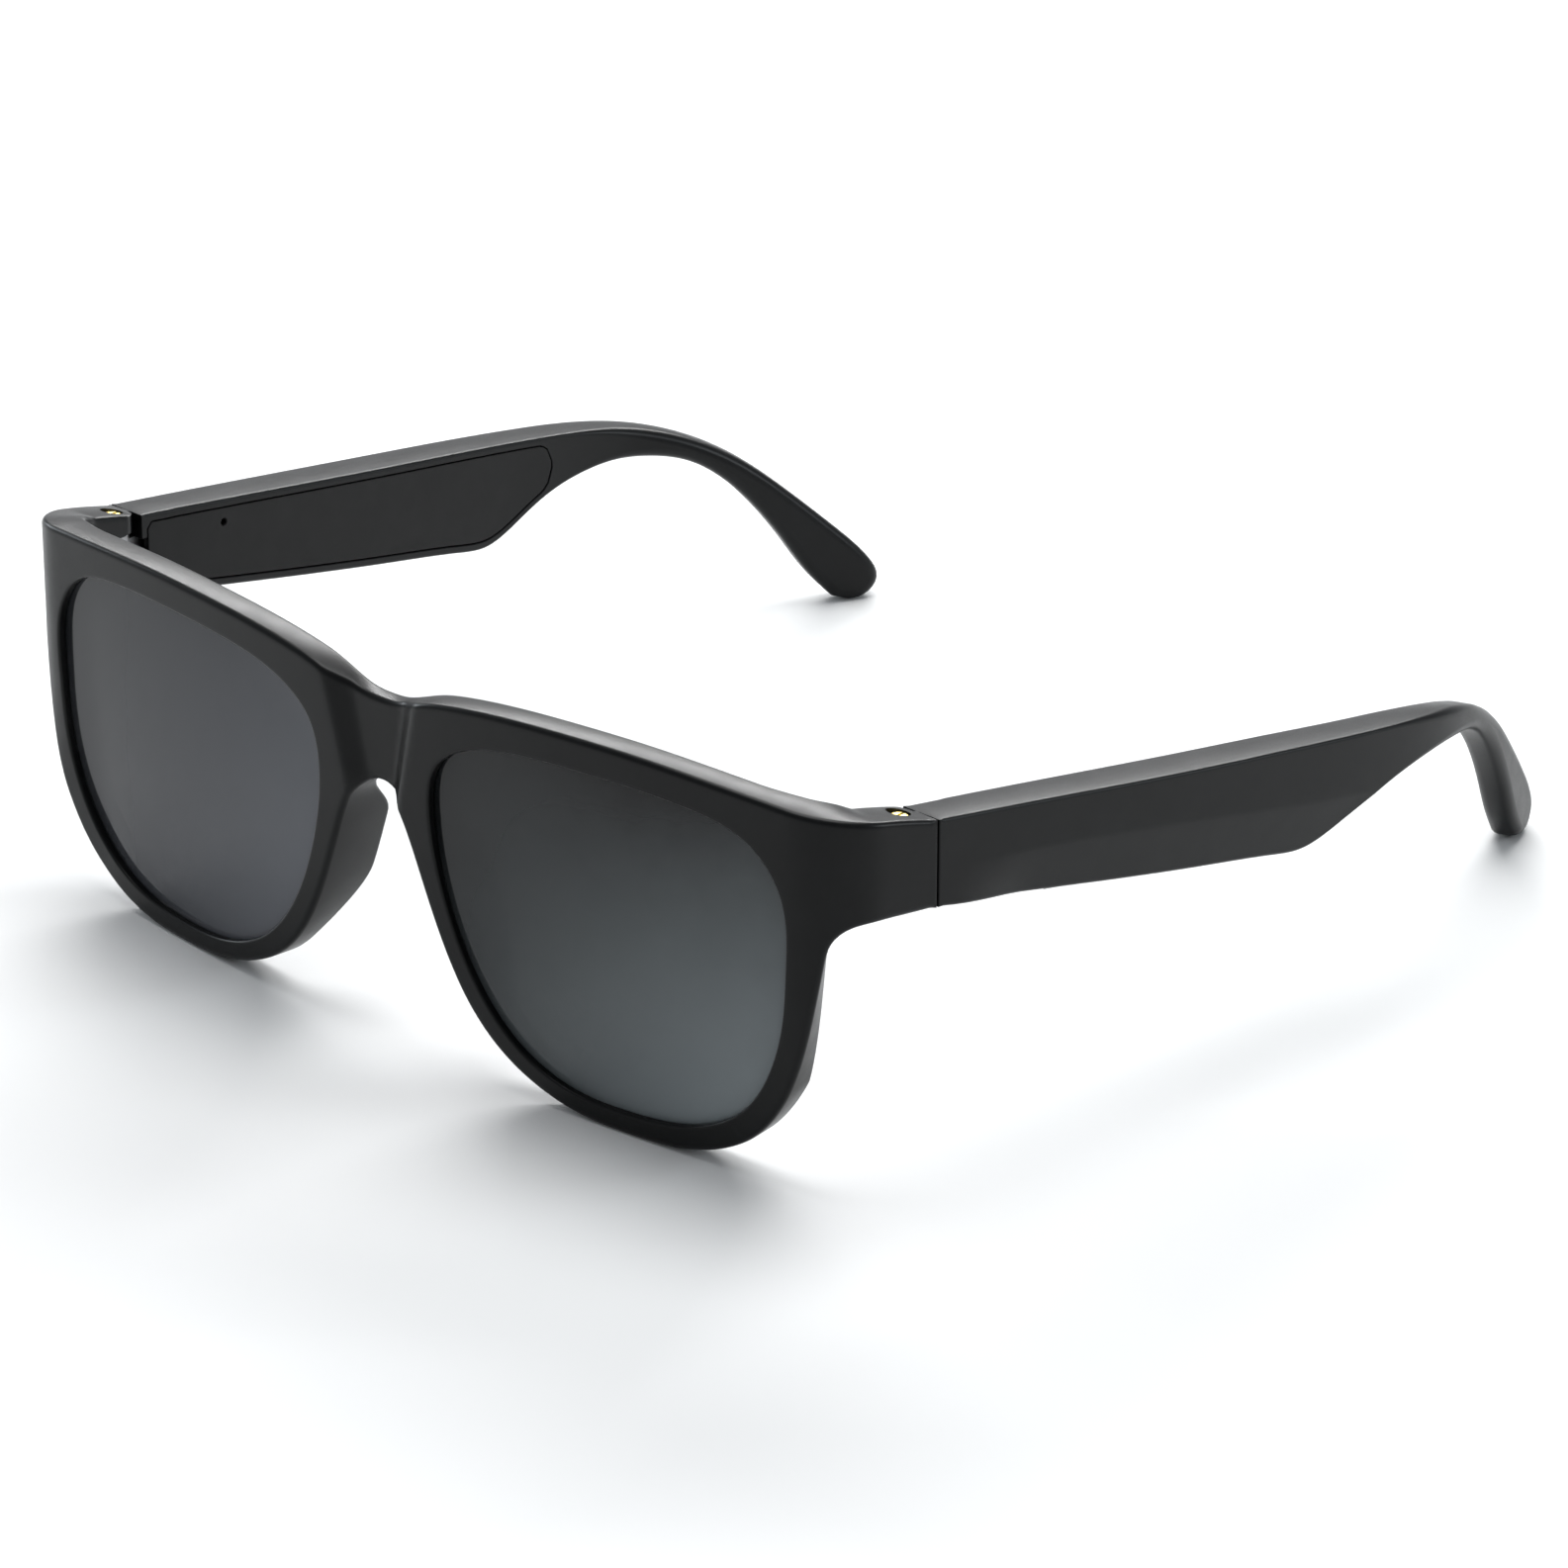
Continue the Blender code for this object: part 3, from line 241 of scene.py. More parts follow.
class Body:
    """Collects rings and fills over a flat (u, v) outline; place(u, v, w) puts each point in space."""

    def __init__(self, place):
        self.place = place
        self.points = []
        self.faces = []

    def ring(self, loop, depth, drop=0):
        """A row of corners over a loop, at a depth that is a number or a function of (u, v)."""
        first = len(self.points)
        self.points.extend(self.place(*loop.T, (depth(*loop.T) if callable(depth) else depth) + drop))
        return np.arange(first, first + len(loop))

    def bridge(self, one, other):
        for a, b, c, d in zip(one, np.roll(one, -1), np.roll(other, -1), other):
            self.faces.append((a, b, c, d))

    def fill(self, rims, inner, depth, creases=()):
        """Triangles over the region between the first rim and the rest, through the inner points."""
        flat = [loop for loop, _ in rims]
        index = [list(ids) for _, ids in rims]
        edges, start = [], 0
        for loop in flat:
            edges += [(start + i, start + (i + 1) % len(loop)) for i in range(len(loop))]
            start += len(loop)
        for line in creases:
            edges += [(start + i, start + i + 1) for i in range(len(line) - 1)]
            start += len(line)
        extra = np.concatenate([*creases, inner]) if len(creases) else inner
        if len(extra):
            index.append(list(self.ring(extra, depth)))
        corners = np.concatenate([*flat, extra]) if len(extra) else np.concatenate(flat)
        names = np.concatenate(index)
        made = delaunay_2d_cdt([Vector(p) for p in corners], edges, [], 0, 1e-7)
        assert len(made[0]) == len(corners)
        triangles = np.array(made[2])
        order = np.array([origin[0] for origin in made[3]])
        triangles = order[triangles]
        centres = corners[triangles].mean(1)
        keep = inside(centres, flat[0])
        for loop in flat[1:]:
            keep &= ~inside(centres, loop)
        for triangle in triangles[keep]:
            self.faces.append(tuple(names[triangle]))

    def shape(self):
        """The body as a bmesh, in metres over the floor, with its faces turned outwards."""
        mesh = bpy.data.meshes.new("body")
        points = (np.array(self.points) + (0, -MID_DEPTH, FLOOR_DROP)) * MM
        mesh.from_pydata(points.tolist(), [], [tuple(int(i) for i in face) for face in self.faces])
        shape = bmesh.new()
        shape.from_mesh(mesh)
        bpy.data.meshes.remove(mesh)
        bmesh.ops.recalc_face_normals(shape, faces=shape.faces)
        return shape


def rounded_edge(body, loop, radius, front, back, middle=(), guard=0.3):
    """Rings from the front sheet's rim, round both edges, to the back sheet's rim.

    A positive radius rounds the edge of the body, a negative one the edge of an opening.
    """
    turns = np.linspace(0, math.pi / 2, FILLET_STEPS)
    sign = np.sign(np.mean(radius))
    steps = [(radius + sign * guard, 0.0)]
    steps += [(radius * (1 - math.sin(t)), abs(radius) * (1 - math.cos(t))) for t in turns]
    rims, previous = [], None
    for distance, drop in steps:
        line = inset(loop, distance)
        ids = body.ring(line, front, drop)
        rims.append((line, ids))
        if previous is not None:
            body.bridge(previous, ids)
        previous = ids
    for distance, depth in middle:
        line = inset(loop, distance)
        ids = body.ring(line, depth)
        body.bridge(previous, ids)
        previous = ids
    for distance, drop in reversed(steps):
        line = inset(loop, distance)
        ids = body.ring(line, back, -drop)
        body.bridge(previous, ids)
        rims.append((line, ids))
        previous = ids
    return rims[0], rims[-1]


def piece_of(name, shape):
    """A closed bmesh as an object, with its round parts shaded smooth."""
    mesh = bpy.data.meshes.new(name)
    shape.to_mesh(mesh)
    shape.free()
    made = bpy.data.objects.new(name, mesh)
    bpy.context.scene.collection.objects.link(made)
    finish_shading(made)
    return made


def prism(outline, low, high, side=1):
    """A closed bmesh of a flat (x, y) outline between two heights, mirrored where side is -1."""
    shape = bmesh.new()
    rows = []
    for z in (low, high):
        spots = [(side * x, y - MID_DEPTH, z + FLOOR_DROP) for x, y in outline]
        rows.append([shape.verts.new(Vector(p) * MM) for p in spots])
    close_tube(shape, rows)
    return shape


def close_tube(shape, rows):
    """Faces between the rows of corners, and over both ends."""
    shape.faces.new(rows[0])
    shape.faces.new(rows[-1])
    for one, other in zip(rows, rows[1:]):
        for i in range(len(one)):
            j = (i + 1) % len(one)
            shape.faces.new((one[i], one[j], other[j], other[i]))
    bmesh.ops.recalc_face_normals(shape, faces=shape.faces)


def arc(x, y, radius, start, end, count):
    """Points on an arc, with its angles in degrees."""
    turns = np.radians(np.linspace(start, end, count))
    return [(x + radius * math.cos(t), y + radius * math.sin(t)) for t in turns]


def disc(x, y, radius, count=ROUND):
    return arc(x, y, radius, 0, 360 * (1 - 1 / count), count)


def rectangle(x0, x1, y0, y1):
    return [(x0, y0), (x1, y0), (x1, y1), (x0, y1)]


def turned(start, end, profile, count=ROUND):
    """A closed turned shape on the line from start to end; profile holds (distance along, radius)."""
    start, end = (Vector(p) + Vector((0, -MID_DEPTH, FLOOR_DROP)) for p in (start, end))
    along = (end - start).normalized()
    side = along.orthogonal().normalized()
    up = along.cross(side)
    shape = bmesh.new()
    rows = []
    turns = [2 * math.pi * i / count for i in range(count)]
    for distance, radius in profile:
        middle = start + along * distance
        spots = [middle + radius * (math.cos(t) * side + math.sin(t) * up) for t in turns]
        rows.append([shape.verts.new(p * MM) for p in spots])
    close_tube(shape, rows)
    return shape


def rod(start, end, radius, count=ROUND):
    return turned(start, end, ((0, radius), ((Vector(end) - Vector(start)).length, radius)), count)


def combine(target, shape, operation):
    """A Boolean of a shape with the target, written into the target's mesh."""
    helper = piece_of("helper", shape)
    modifier = target.modifiers.new("with_helper", "BOOLEAN")
    modifier.operation = operation
    modifier.solver = "EXACT"
    modifier.object = helper
    bake(target)
    bpy.data.objects.remove(helper)


def bake(target):
    """Writes the target's modifiers into its mesh."""
    bpy.context.view_layer.update()
    graph = bpy.context.evaluated_depsgraph_get()
    mesh = bpy.data.meshes.new_from_object(target.evaluated_get(graph))
    target.modifiers.clear()
    target.data = mesh


def cut(target, shape):
    combine(target, shape, "DIFFERENCE")


def join(target, shape):
    combine(target, shape, "UNION")


def soften(target, width, segments=3, angle=40):
    """Small rounded edges on a machined or moulded piece, then smooth shading."""
    modifier = target.modifiers.new("soft_edges", "BEVEL")
    modifier.width = width * MM
    modifier.segments = segments
    modifier.limit_method = "ANGLE"
    modifier.angle_limit = math.radians(angle)
    modifier.use_clamp_overlap = True
    bake(target)
    finish_shading(target, 50)


def finish_shading(target, angle=35):
    target.data.shade_smooth()
    target.data.set_sharp_from_angle(angle=math.radians(angle))


# The front

BOW_SLOPE = 2 * BOW_DEPTH / BOW_HALF ** 2
BOW_TURN = math.atan(BOW_SLOPE * BOW_END)
SIDE_TURN = math.atan2(1, SIDE_SPLAY)
BOW_LENGTH = float(np.hypot(1, BOW_SLOPE * np.linspace(0, BOW_END, 199)).mean() * BOW_END)


def front_path(s):
    """Position and outward normal of the front's outer surface at a distance along the bow."""
    s = np.asarray(s, float)
    sign, run = np.where(s < 0, -1.0, 1.0), np.abs(s)
    x_bow = run * (BOW_END / BOW_LENGTH)
    y_bow = BOW_APEX + 0.5 * BOW_SLOPE * x_bow ** 2
    y_end = BOW_APEX + 0.5 * BOW_SLOPE * BOW_END ** 2
    turn = np.clip(BOW_TURN + (run - BOW_LENGTH) / CORNER_RADIUS, BOW_TURN, SIDE_TURN)
    x_arc = BOW_END + CORNER_RADIUS * (np.sin(turn) - math.sin(BOW_TURN))
    y_arc = y_end + CORNER_RADIUS * (math.cos(BOW_TURN) - np.cos(turn))
    past = np.maximum(run - BOW_LENGTH - CORNER_RADIUS * (SIDE_TURN - BOW_TURN), 0)
    bow = run < BOW_LENGTH
    x = np.where(bow, x_bow, x_arc + past * math.cos(SIDE_TURN))
    y = np.where(bow, y_bow, y_arc + past * math.sin(SIDE_TURN))
    heading = np.where(bow, np.arctan(BOW_SLOPE * x_bow), turn)
    return sign * x, y, sign * np.sin(heading), -np.cos(heading)


def place_front(s, z, depth):
    """Puts (distance along the bow, height, depth below the outer surface) in space."""
    x, y, nx, ny = front_path(s)
    x_end, y_end, _, _ = front_path(END_S)
    lean = -FRONT_LEAN * z * (1 - smoothstep(56, 72, np.abs(s)))
    shift = np.sign(s) * (HALF_WIDTH - x_end) * smoothstep(BOW_END, 76, np.abs(s))
    back = -y_end * smoothstep(BOW_END, END_S, np.abs(s))
    return np.stack([x + shift - nx * depth, y + lean + back - ny * depth, z + 0 * depth], 1)


def soft_ramp(t, softness=0.09):
    """Nil below 0 and one above 1, with both corners rounded off."""
    return 0.5 * (np.sqrt(t ** 2 + softness ** 2) - np.sqrt((t - 1) ** 2 + softness ** 2) + 1)


def line_at(line, z):
    """Distance from the middle at a height, on a line given by two points."""
    return np.interp(z, *zip(*sorted((height, distance) for distance, height in line)))


def front_surface(s, z):
    """Depth of the front's outer face: nil except in the bridge recess."""
    foot, rim = line_at(RECESS_FOOT, z), line_at(RECESS_RIM, z)
    return RECESS_DEPTH * soft_ramp((rim - np.abs(s)) / (rim - foot))


def back_surface(s, z):
    """Depth of the front's inner face: the plate, thicker at the endpieces and over the nose pads."""
    run = np.abs(s)
    plate = FRONT_THICKNESS + (ENDPIECE_THICKNESS - FRONT_THICKNESS) * smoothstep(58, 74, run)
    along = smoothstep(-PAD_TOP, -PAD_FULL, -z)
    fade = 1 - smoothstep(-PAD_EASE, -PAD_BOTTOM, -z)
    across = 1 - smoothstep(PAD_INNER, PAD_OUTER, run)
    return plate + PAD_DEPTH * along * fade * across


def mirrored(points):
    """Half an outline made whole, with the middle point kept once."""
    points = [tuple(p) for p in points]
    start = points[1:] if points[0][0] == 0 else points
    return [(-u, v) for u, v in reversed(start)] + points


def front_outline(spacing):
    brow = run_through(mirrored(BROW), spacing)
    rim = run_through(mirrored(list(reversed(RIM))), spacing)[::-1]
    count = round(END_HEIGHT / spacing)
    drop = np.linspace(0, 1, count + 1)[1:-1, None]
    right = brow[-1] + (rim[0] - brow[-1]) * drop
    left = rim[-1] + (brow[0] - rim[-1]) * drop
    return np.concatenate([brow, right, rim, left])[::-1]


def lens_outline(side, spacing):
    return ring_through(LENS, spacing) * (side, 1)


def grid_over(loops, columns, rows, margin):
    """Grid points within the first loop and outside the rest, clear of them all by a margin."""
    spots = np.stack(np.meshgrid(columns, rows), -1).reshape(-1, 2)
    keep = inside(spots, loops[0]) & clear_of(spots, loops, margin)
    for loop in loops[1:]:
        keep &= ~inside(spots, loop)
    return spots[keep]


def near_end(loop, end):
    """True for the points of an outline on the straight joint line between front and temple."""
    return np.abs(np.abs(loop[:, 0]) - end) < 0.01


def front_body():
    body = Body(place_front)
    loop = front_outline(STEP)
    radius = np.where(near_end(loop, END_S), END_FILLET, RIM_FILLET)
    outer = rounded_edge(body, loop, radius, front_surface, back_surface)
    groove = ((0, GROOVE_FRONT), (-GROOVE_DEPTH, GROOVE_FRONT + 0.05), (-GROOVE_DEPTH, GROOVE_BACK),
              (0, GROOVE_BACK + 0.05))
    openings = []
    for side in (1, -1):
        loop = lens_outline(side, STEP)
        openings.append(rounded_edge(body, loop, -0.3, front_surface, back_surface, groove))
    columns, rows = np.arange(-84, 85, 1.5), np.arange(-44, 7, 1.5)
    bridge_columns, bridge_rows = np.arange(-11, 11.1, FINE), np.arange(-14, 4.1, FINE)
    for which, depth in ((0, front_surface), (1, back_surface)):
        rims = [pair[which] for pair in (outer, *openings)]
        loops = [loop for loop, _ in rims]
        spots = grid_over(loops, columns, rows, 0.7)
        fine = grid_over(loops, bridge_columns, bridge_rows, 0.4)
        apart = (np.abs(spots[:, 0]) > 11.4) | (spots[:, 1] < -14.4)
        body.fill(rims, np.concatenate([spots[apart], fine]), depth)
    return body


def cut_endpiece(front, side):
    """Room for the hinge in one endpiece: its cavity, the round knuckle, the pin hole and a screw hole."""
    cut(front, prism(rectangle(CUT_X, CAVITY_SIDE, CAVITY_FRONT, CUT_Y), CAVITY_BOTTOM, CAVITY_TOP, side))
    turn = arc(PIN_X, PIN_Y, KNUCKLE_RADIUS, 180, 90, 15)
    knuckle = [(CUT_X, PIN_Y)] + turn + [(PIN_X, CUT_Y), (CUT_X, CUT_Y)]
    cut(front, prism(knuckle, -20, 8, side))
    cut(front, prism(disc(PIN_X, PIN_Y, PIN_HOLE_RADIUS), CAVITY_TOP - 1, 8, side))
    cut(front, rod(*bracket_screw_line(side, 1, -3.3), SCREW_RADIUS + FIT, 24))


def make_front():
    """The rims, bridge, nose pads and endpieces, in one moulding."""
    front = piece_of("front_moulding", front_body().shape())
    for side in (1, -1):
        cut_endpiece(front, side)
    finish_shading(front)
    finished(front, "frame_black", "front", "front_frame")


def lens_surface(drop):
    """Depth of a domed lens face, a drop below the lens's front one."""
    def depth(s, z):
        away = np.hypot((np.abs(s) - 37) / 29, (z + 20.6) / 23)
        return LENS_FRONT + drop - LENS_DOME * np.clip(1 - away ** 2, 0, 1)
    return depth


def make_lens(side, tag):
    body = Body(place_front)
    loop = inset(lens_outline(side, LENS_STEP), -LENS_TUCK)
    front, back = rounded_edge(body, loop, 0.25, lens_surface(0), lens_surface(LENS_THICKNESS))
    columns, rows = side * np.arange(9, 66, 1.6), np.arange(-43, 3, 1.6)
    for rim, drop in ((front, 0), (back, LENS_THICKNESS)):
        body.fill([rim], grid_over([rim[0]], columns, rows, 0.9), lens_surface(drop))
    lens = piece_of(f"{tag}_lens_glass", body.shape())
    finished(lens, "lens_grey", "front", f"lens_{tag}")


# The temples

PATH_X = cubic(*zip(*TEMPLE_PATH))
THICK = cubic(*zip(*TEMPLE_THICKNESS))
CREASE_Z = cubic(*zip(*CREASE))


def place_temple(side):
    """Puts (distance back, height, depth below the outer surface) in space for one temple."""
    def place(u, v, depth):
        slope = (PATH_X(u + 0.01) - PATH_X(u - 0.01)) / 0.02
        length = np.hypot(1, slope)
        x = PATH_X(u) - depth / length
        return np.stack([side * x, u + depth * slope / length * (u > 6), v + 0 * depth], 1)
    return place


def temple_outer(u, v):
    """Depth of the outer face: a facet below the crease leans in towards the underside."""
    fade = smoothstep(*FACET_START, u) * (1 - smoothstep(*FACET_END, u))
    below = CREASE_Z(np.clip(u, 5, 76)) - v
    return CREASE_SLOPE * 0.5 * (below + np.sqrt(below ** 2 + CREASE_SOFTNESS ** 2)) * fade


def temple_inner(u, v):
    return THICK(u) + 0 * v


def temple_outline(spacing):
    top = run_through(TEMPLE_TOP, spacing)
    belly = run_through(TEMPLE_BELLY, spacing)
    count = round(END_HEIGHT / spacing)
    rise = np.linspace(0, 1, count + 1)[1:-1, None]
    nose = belly[-1] + (top[0] - belly[-1]) * rise
    return np.concatenate([top, belly[1:], nose])[::-1]


def side_heights():
    """Top and underside of the temple as functions of the distance back, up to the pocket's end."""
    loop = temple_outline(1.0)
    top = loop[(loop[:, 0] < 90) & (loop[:, 1] > -0.12 * loop[:, 0] - 5)]
    under = loop[(loop[:, 0] < 90) & (loop[:, 1] < -0.12 * loop[:, 0] - 5)]
    top, under = top[top[:, 0].argsort()], under[under[:, 0].argsort()]
    return (lambda u: np.interp(u, *top.T)), (lambda u: np.interp(u, *under.T))


TOP_Z, UNDER_Z = side_heights()


def pod_outline(start, end, margin, spacing):
    """A closed outline set in from the temple's edges, with a round rear end."""
    u = np.linspace(start, end, round((end - start) / spacing))
    top, under = TOP_Z(u) - margin, UNDER_Z(u) + margin
    middle, half = 0.5 * (top + under), 0.5 * (top - under)
    corner = 0.85 * half[-1]
    rear = np.sqrt(np.clip(1 - (np.clip(u - (end - corner), 0, corner) / corner) ** 2, 0, 1))
    front = np.sqrt(np.clip(1 - (np.clip(start + 1 - u, 0, 1)) ** 2, 0, 1))
    grow = (half - corner + corner * rear) - (1 - front)
    upper = np.stack([u, middle + grow], 1)
    lower = np.stack([u, middle - grow], 1)[::-1]
    return np.concatenate([upper, lower])[::-1]


def shell_body(side):
    """A temple with its crease, its ear hook and the pocket and ledge in its inner face."""
    body = Body(place_temple(side))
    loop = temple_outline(STEP)
    radius = SHELL_FILLET + (HOOK_FILLET - SHELL_FILLET) * smoothstep(78, 100, loop[:, 0])
    radius = np.where(loop[:, 0] < 0.35, END_FILLET, radius)
    outer, inner = rounded_edge(body, loop, radius, temple_outer, temple_inner, guard=0.06)
    columns, rows = np.arange(1.5, 129, 1.5), np.arange(-45, 0, 1.1)
    lines = []
    for offset in (-0.35, 0, 0.35):
        u = np.arange(2, 76, 1.2)
        line = np.stack([u, CREASE_Z(np.clip(u, 5, 76)) + offset], 1)
        lines.append(line[inside(line, outer[0]) & clear_of(line, [outer[0]], 0.5)])
    spots = grid_over([outer[0]], columns, rows, 0.7)
    body.fill([outer], spots[clear_of(spots, lines, 0.5)], temple_outer, lines)
    cover = pod_outline(COVER_FRONT, COVER_REAR, COVER_INSET, STEP)
    pocket = pod_outline(POCKET_FRONT, POCKET_REAR, POCKET_INSET, STEP)
    lip = inset(cover, -0.1)
    lip_ring = body.ring(lip, temple_inner)
    mouth = body.ring(cover, temple_inner, -0.1)
    ledge = body.ring(cover, temple_inner, -COVER_RECESS)
    brink = body.ring(pocket, temple_inner, -COVER_RECESS)
    floor = body.ring(pocket, temple_outer, WALL)
    body.bridge(lip_ring, mouth)
    body.bridge(mouth, ledge)
    body.bridge(brink, floor)
    spots = grid_over([inner[0], lip], columns, rows, 0.7)
    body.fill([inner, (lip, lip_ring)], spots, temple_inner)
    body.fill([(cover, ledge), (pocket, brink)], np.empty((0, 2)), temple_inner)
    spots = grid_over([pocket], columns, rows, 1.0)
    body.fill([(pocket, floor)], spots, lambda u, v: temple_outer(u, v) + WALL)
    return body


def pod(side, span, heights, depths):
    """A closed block in the temple: a span back, heights above its middle line and depths from outside."""
    place = place_temple(side)
    u = np.linspace(span[0], span[1], max(2, round((span[1] - span[0]) / 9) + 1))
    middle = 0.5 * (TOP_Z(u) + UNDER_Z(u))
    body = Body(place)
    for depth in depths:
        for height in heights:
            body.points.extend(place(u, middle + height, np.full(len(u), float(depth))))
    count = len(u)
    rows = [np.arange(count) + k * count for k in (0, 1, 3, 2)]
    for one, other in zip(rows, rows[1:] + rows[:1]):
        for i in range(count - 1):
            body.faces.append((one[i], one[i + 1], other[i + 1], other[i]))
    for i in (0, count - 1):
        body.faces.append(tuple(row[i] for row in rows))
    return body


def under_shape(side, span, low, high, depths):
    """A block that follows the temple's underside, between two heights above it."""
    half = 0.5 * (TOP_Z(np.array(span)) - UNDER_Z(np.array(span)))
    drop = float(half.mean())
    return pod(side, span, (low - drop, high - drop), depths).shape()


def underside_line(side, u, depth, low, high):
    """Two points on an upright line, by their heights above the temple's underside."""
    return place_temple(side)(np.full(2, u), UNDER_Z(u) + np.array([low, high]), np.full(2, depth))


def make_shell(side, tag):
    """The temple moulding, with its openings for the strap, the button, the outlet and the contacts."""
    shell = piece_of(f"{tag}_temple_moulding", shell_body(side).shape())
    slot = strap_outline(0.2, POCKET_FRONT + 0.8)
    slot = [(60, slot[0][1]), slot[1], slot[2], (60, slot[2][1])]
    cut(shell, prism(slot, CAVITY_BOTTOM + EAR + 0.35, CAVITY_TOP - EAR - 0.35, side))
    cut(shell, rod(*strap_screw_line(side, -2, 2.5), SCREW_RADIUS + FIT, 24))
    button = (BUTTON_FROM - 0.2, BUTTON_TO + 0.2)
    cut(shell, under_shape(side, button, -2, 2.6, (BUTTON_OUTER - 0.2, BUTTON_INNER + 0.2)))
    cut(shell, under_shape(side, (OUTLET_FROM, OUTLET_TO), -2, 2.6, (2.8, 4.6)))
    for u in CONTACTS:
        cut(shell, rod(*underside_line(side, u, UNDER_MIDDLE, -1.5, 2.6), CONTACT_RADIUS + FIT, 32))
    finish_shading(shell)
    finished(shell, "frame_black", f"{tag}_temple", f"{tag}_temple_shell")


def make_cover(side, tag):
    """The inner cover that closes the pocket, with its microphone hole."""
    body = Body(place_temple(side))
    loop = inset(pod_outline(COVER_FRONT, COVER_REAR, COVER_INSET, STEP), FIT)

    def under(u, v):
        return THICK(u) - COVER_RECESS + FIT + 0 * v

    def face(u, v):
        return under(u, v) + COVER_THICKNESS - 0.05

    front, back = rounded_edge(body, loop, 0.12, under, face, guard=0.2)
    middle = (MIC_Y, float(TOP_Z(MIC_Y)) - MIC_DROP)
    hole = np.array(disc(*middle, MIC_HOLE, 32))
    rim = np.array(disc(*middle, MIC_HOLE + 0.1, 32))
    bottom = body.ring(hole, under)
    brink = body.ring(hole, face, -0.1)
    lip = body.ring(rim, face)
    body.bridge(bottom, brink)
    body.bridge(brink, lip)
    columns, rows = np.arange(3, 77, 1.8), np.arange(-23, 0, 1.8)
    for sheet, opening, depth in ((front, (hole, bottom), under), (back, (rim, lip), face)):
        spots = grid_over([sheet[0]], columns, rows, 0.9)
        spots = spots[clear_of(spots, [opening[0]], 0.9)]
        body.fill([sheet, opening], spots, depth)
    cover = piece_of(f"{tag}_inner_cover", body.shape())
    finished(cover, "cover_black", f"{tag}_temple", f"{tag}_temple_cover")


# Hinge hardware

STRAP_START = PIN_Y + 0.9
STRAP_X = PIN_X + STRAP_SPLAY * (STRAP_SCREW_Y - STRAP_START)


def strap_outline(margin, end):
    """The leaf's strap from above: it splays outwards with the temple."""
    half = STRAP_HALF + margin
    lean = STRAP_SPLAY * (end - STRAP_START)
    return [(PIN_X - half, STRAP_START), (PIN_X + half, STRAP_START), (PIN_X + lean + half, end),
            (PIN_X + lean - half, end)]


def bracket_screw_line(side, start, end):
    """Two points on the bracket screw's axis, by their distance behind the cavity's front wall."""
    return [(side * PIN_X, CAVITY_FRONT + y, SCREW_MID) for y in (start, end)]


def strap_screw_line(side, start, end):
    """Two points on the strap screw's axis, by their distance outwards from the strap."""
    return [(side * (STRAP_X + x), STRAP_SCREW_Y, SCREW_MID) for x in (start, end)]


def make_bracket(side, tag):
    """The front leaf: a back plate with two ears that hold the pin."""
    wide = (PIN_X - LEAF_RADIUS, PIN_X + LEAF_RADIUS)
    front = CAVITY_FRONT + BRACKET_GAP
    top, bottom = CAVITY_TOP - BRACKET_GAP, CAVITY_BOTTOM + BRACKET_GAP
    plate = rectangle(*wide, front, front + BRACKET_PLATE)
    bracket = piece_of(f"{tag}_hinge_ears", prism(plate, bottom, top, side))
    ear = [(wide[1], front + 0.3)] + arc(PIN_X, PIN_Y, LEAF_RADIUS, 0, 180, 25) + [(wide[0], front + 0.3)]
    for low, high in ((top - EAR, top - 0.004), (bottom + 0.004, bottom + EAR)):
        join(bracket, prism(ear, low, high, side))
    bore = disc(PIN_X, PIN_Y, PIN_RADIUS + BORE_FIT, 32)
    cut(bracket, prism(bore, CAVITY_BOTTOM - 2, CAVITY_TOP + 2, side))
    cut(bracket, rod(*bracket_screw_line(side, -1, 2), SCREW_RADIUS + BORE_FIT, 32))
    finish_shading(bracket)
    finished(bracket, "steel", "front", f"{tag}_hinge_bracket")


def make_leaf(side, tag):
    """The temple leaf: a barrel between the ears and a strap that runs into the temple."""
    low, high = CAVITY_BOTTOM + EAR + 0.25, CAVITY_TOP - EAR - 0.25
    radius, edge = LEAF_RADIUS - 0.1, 0.12
    ends = ((side * PIN_X, PIN_Y, low), (side * PIN_X, PIN_Y, high))
    profile = ((0, radius - edge), (edge, radius), (high - low - edge, radius), (high - low, radius - edge))
    leaf = piece_of(f"{tag}_hinge_barrel", turned(*ends, profile))
    join(leaf, prism(strap_outline(0, STRAP_END), low + 0.3, high - 0.3, side))
    cut(leaf, prism(disc(PIN_X, PIN_Y, PIN_RADIUS + BORE_FIT, 32), low - 2, high + 2, side))
    cut(leaf, rod(*strap_screw_line(side, -2, 2), SCREW_RADIUS + BORE_FIT, 32))
    finish_shading(leaf)
    finished(leaf, "steel", f"{tag}_temple", f"{tag}_hinge_leaf")


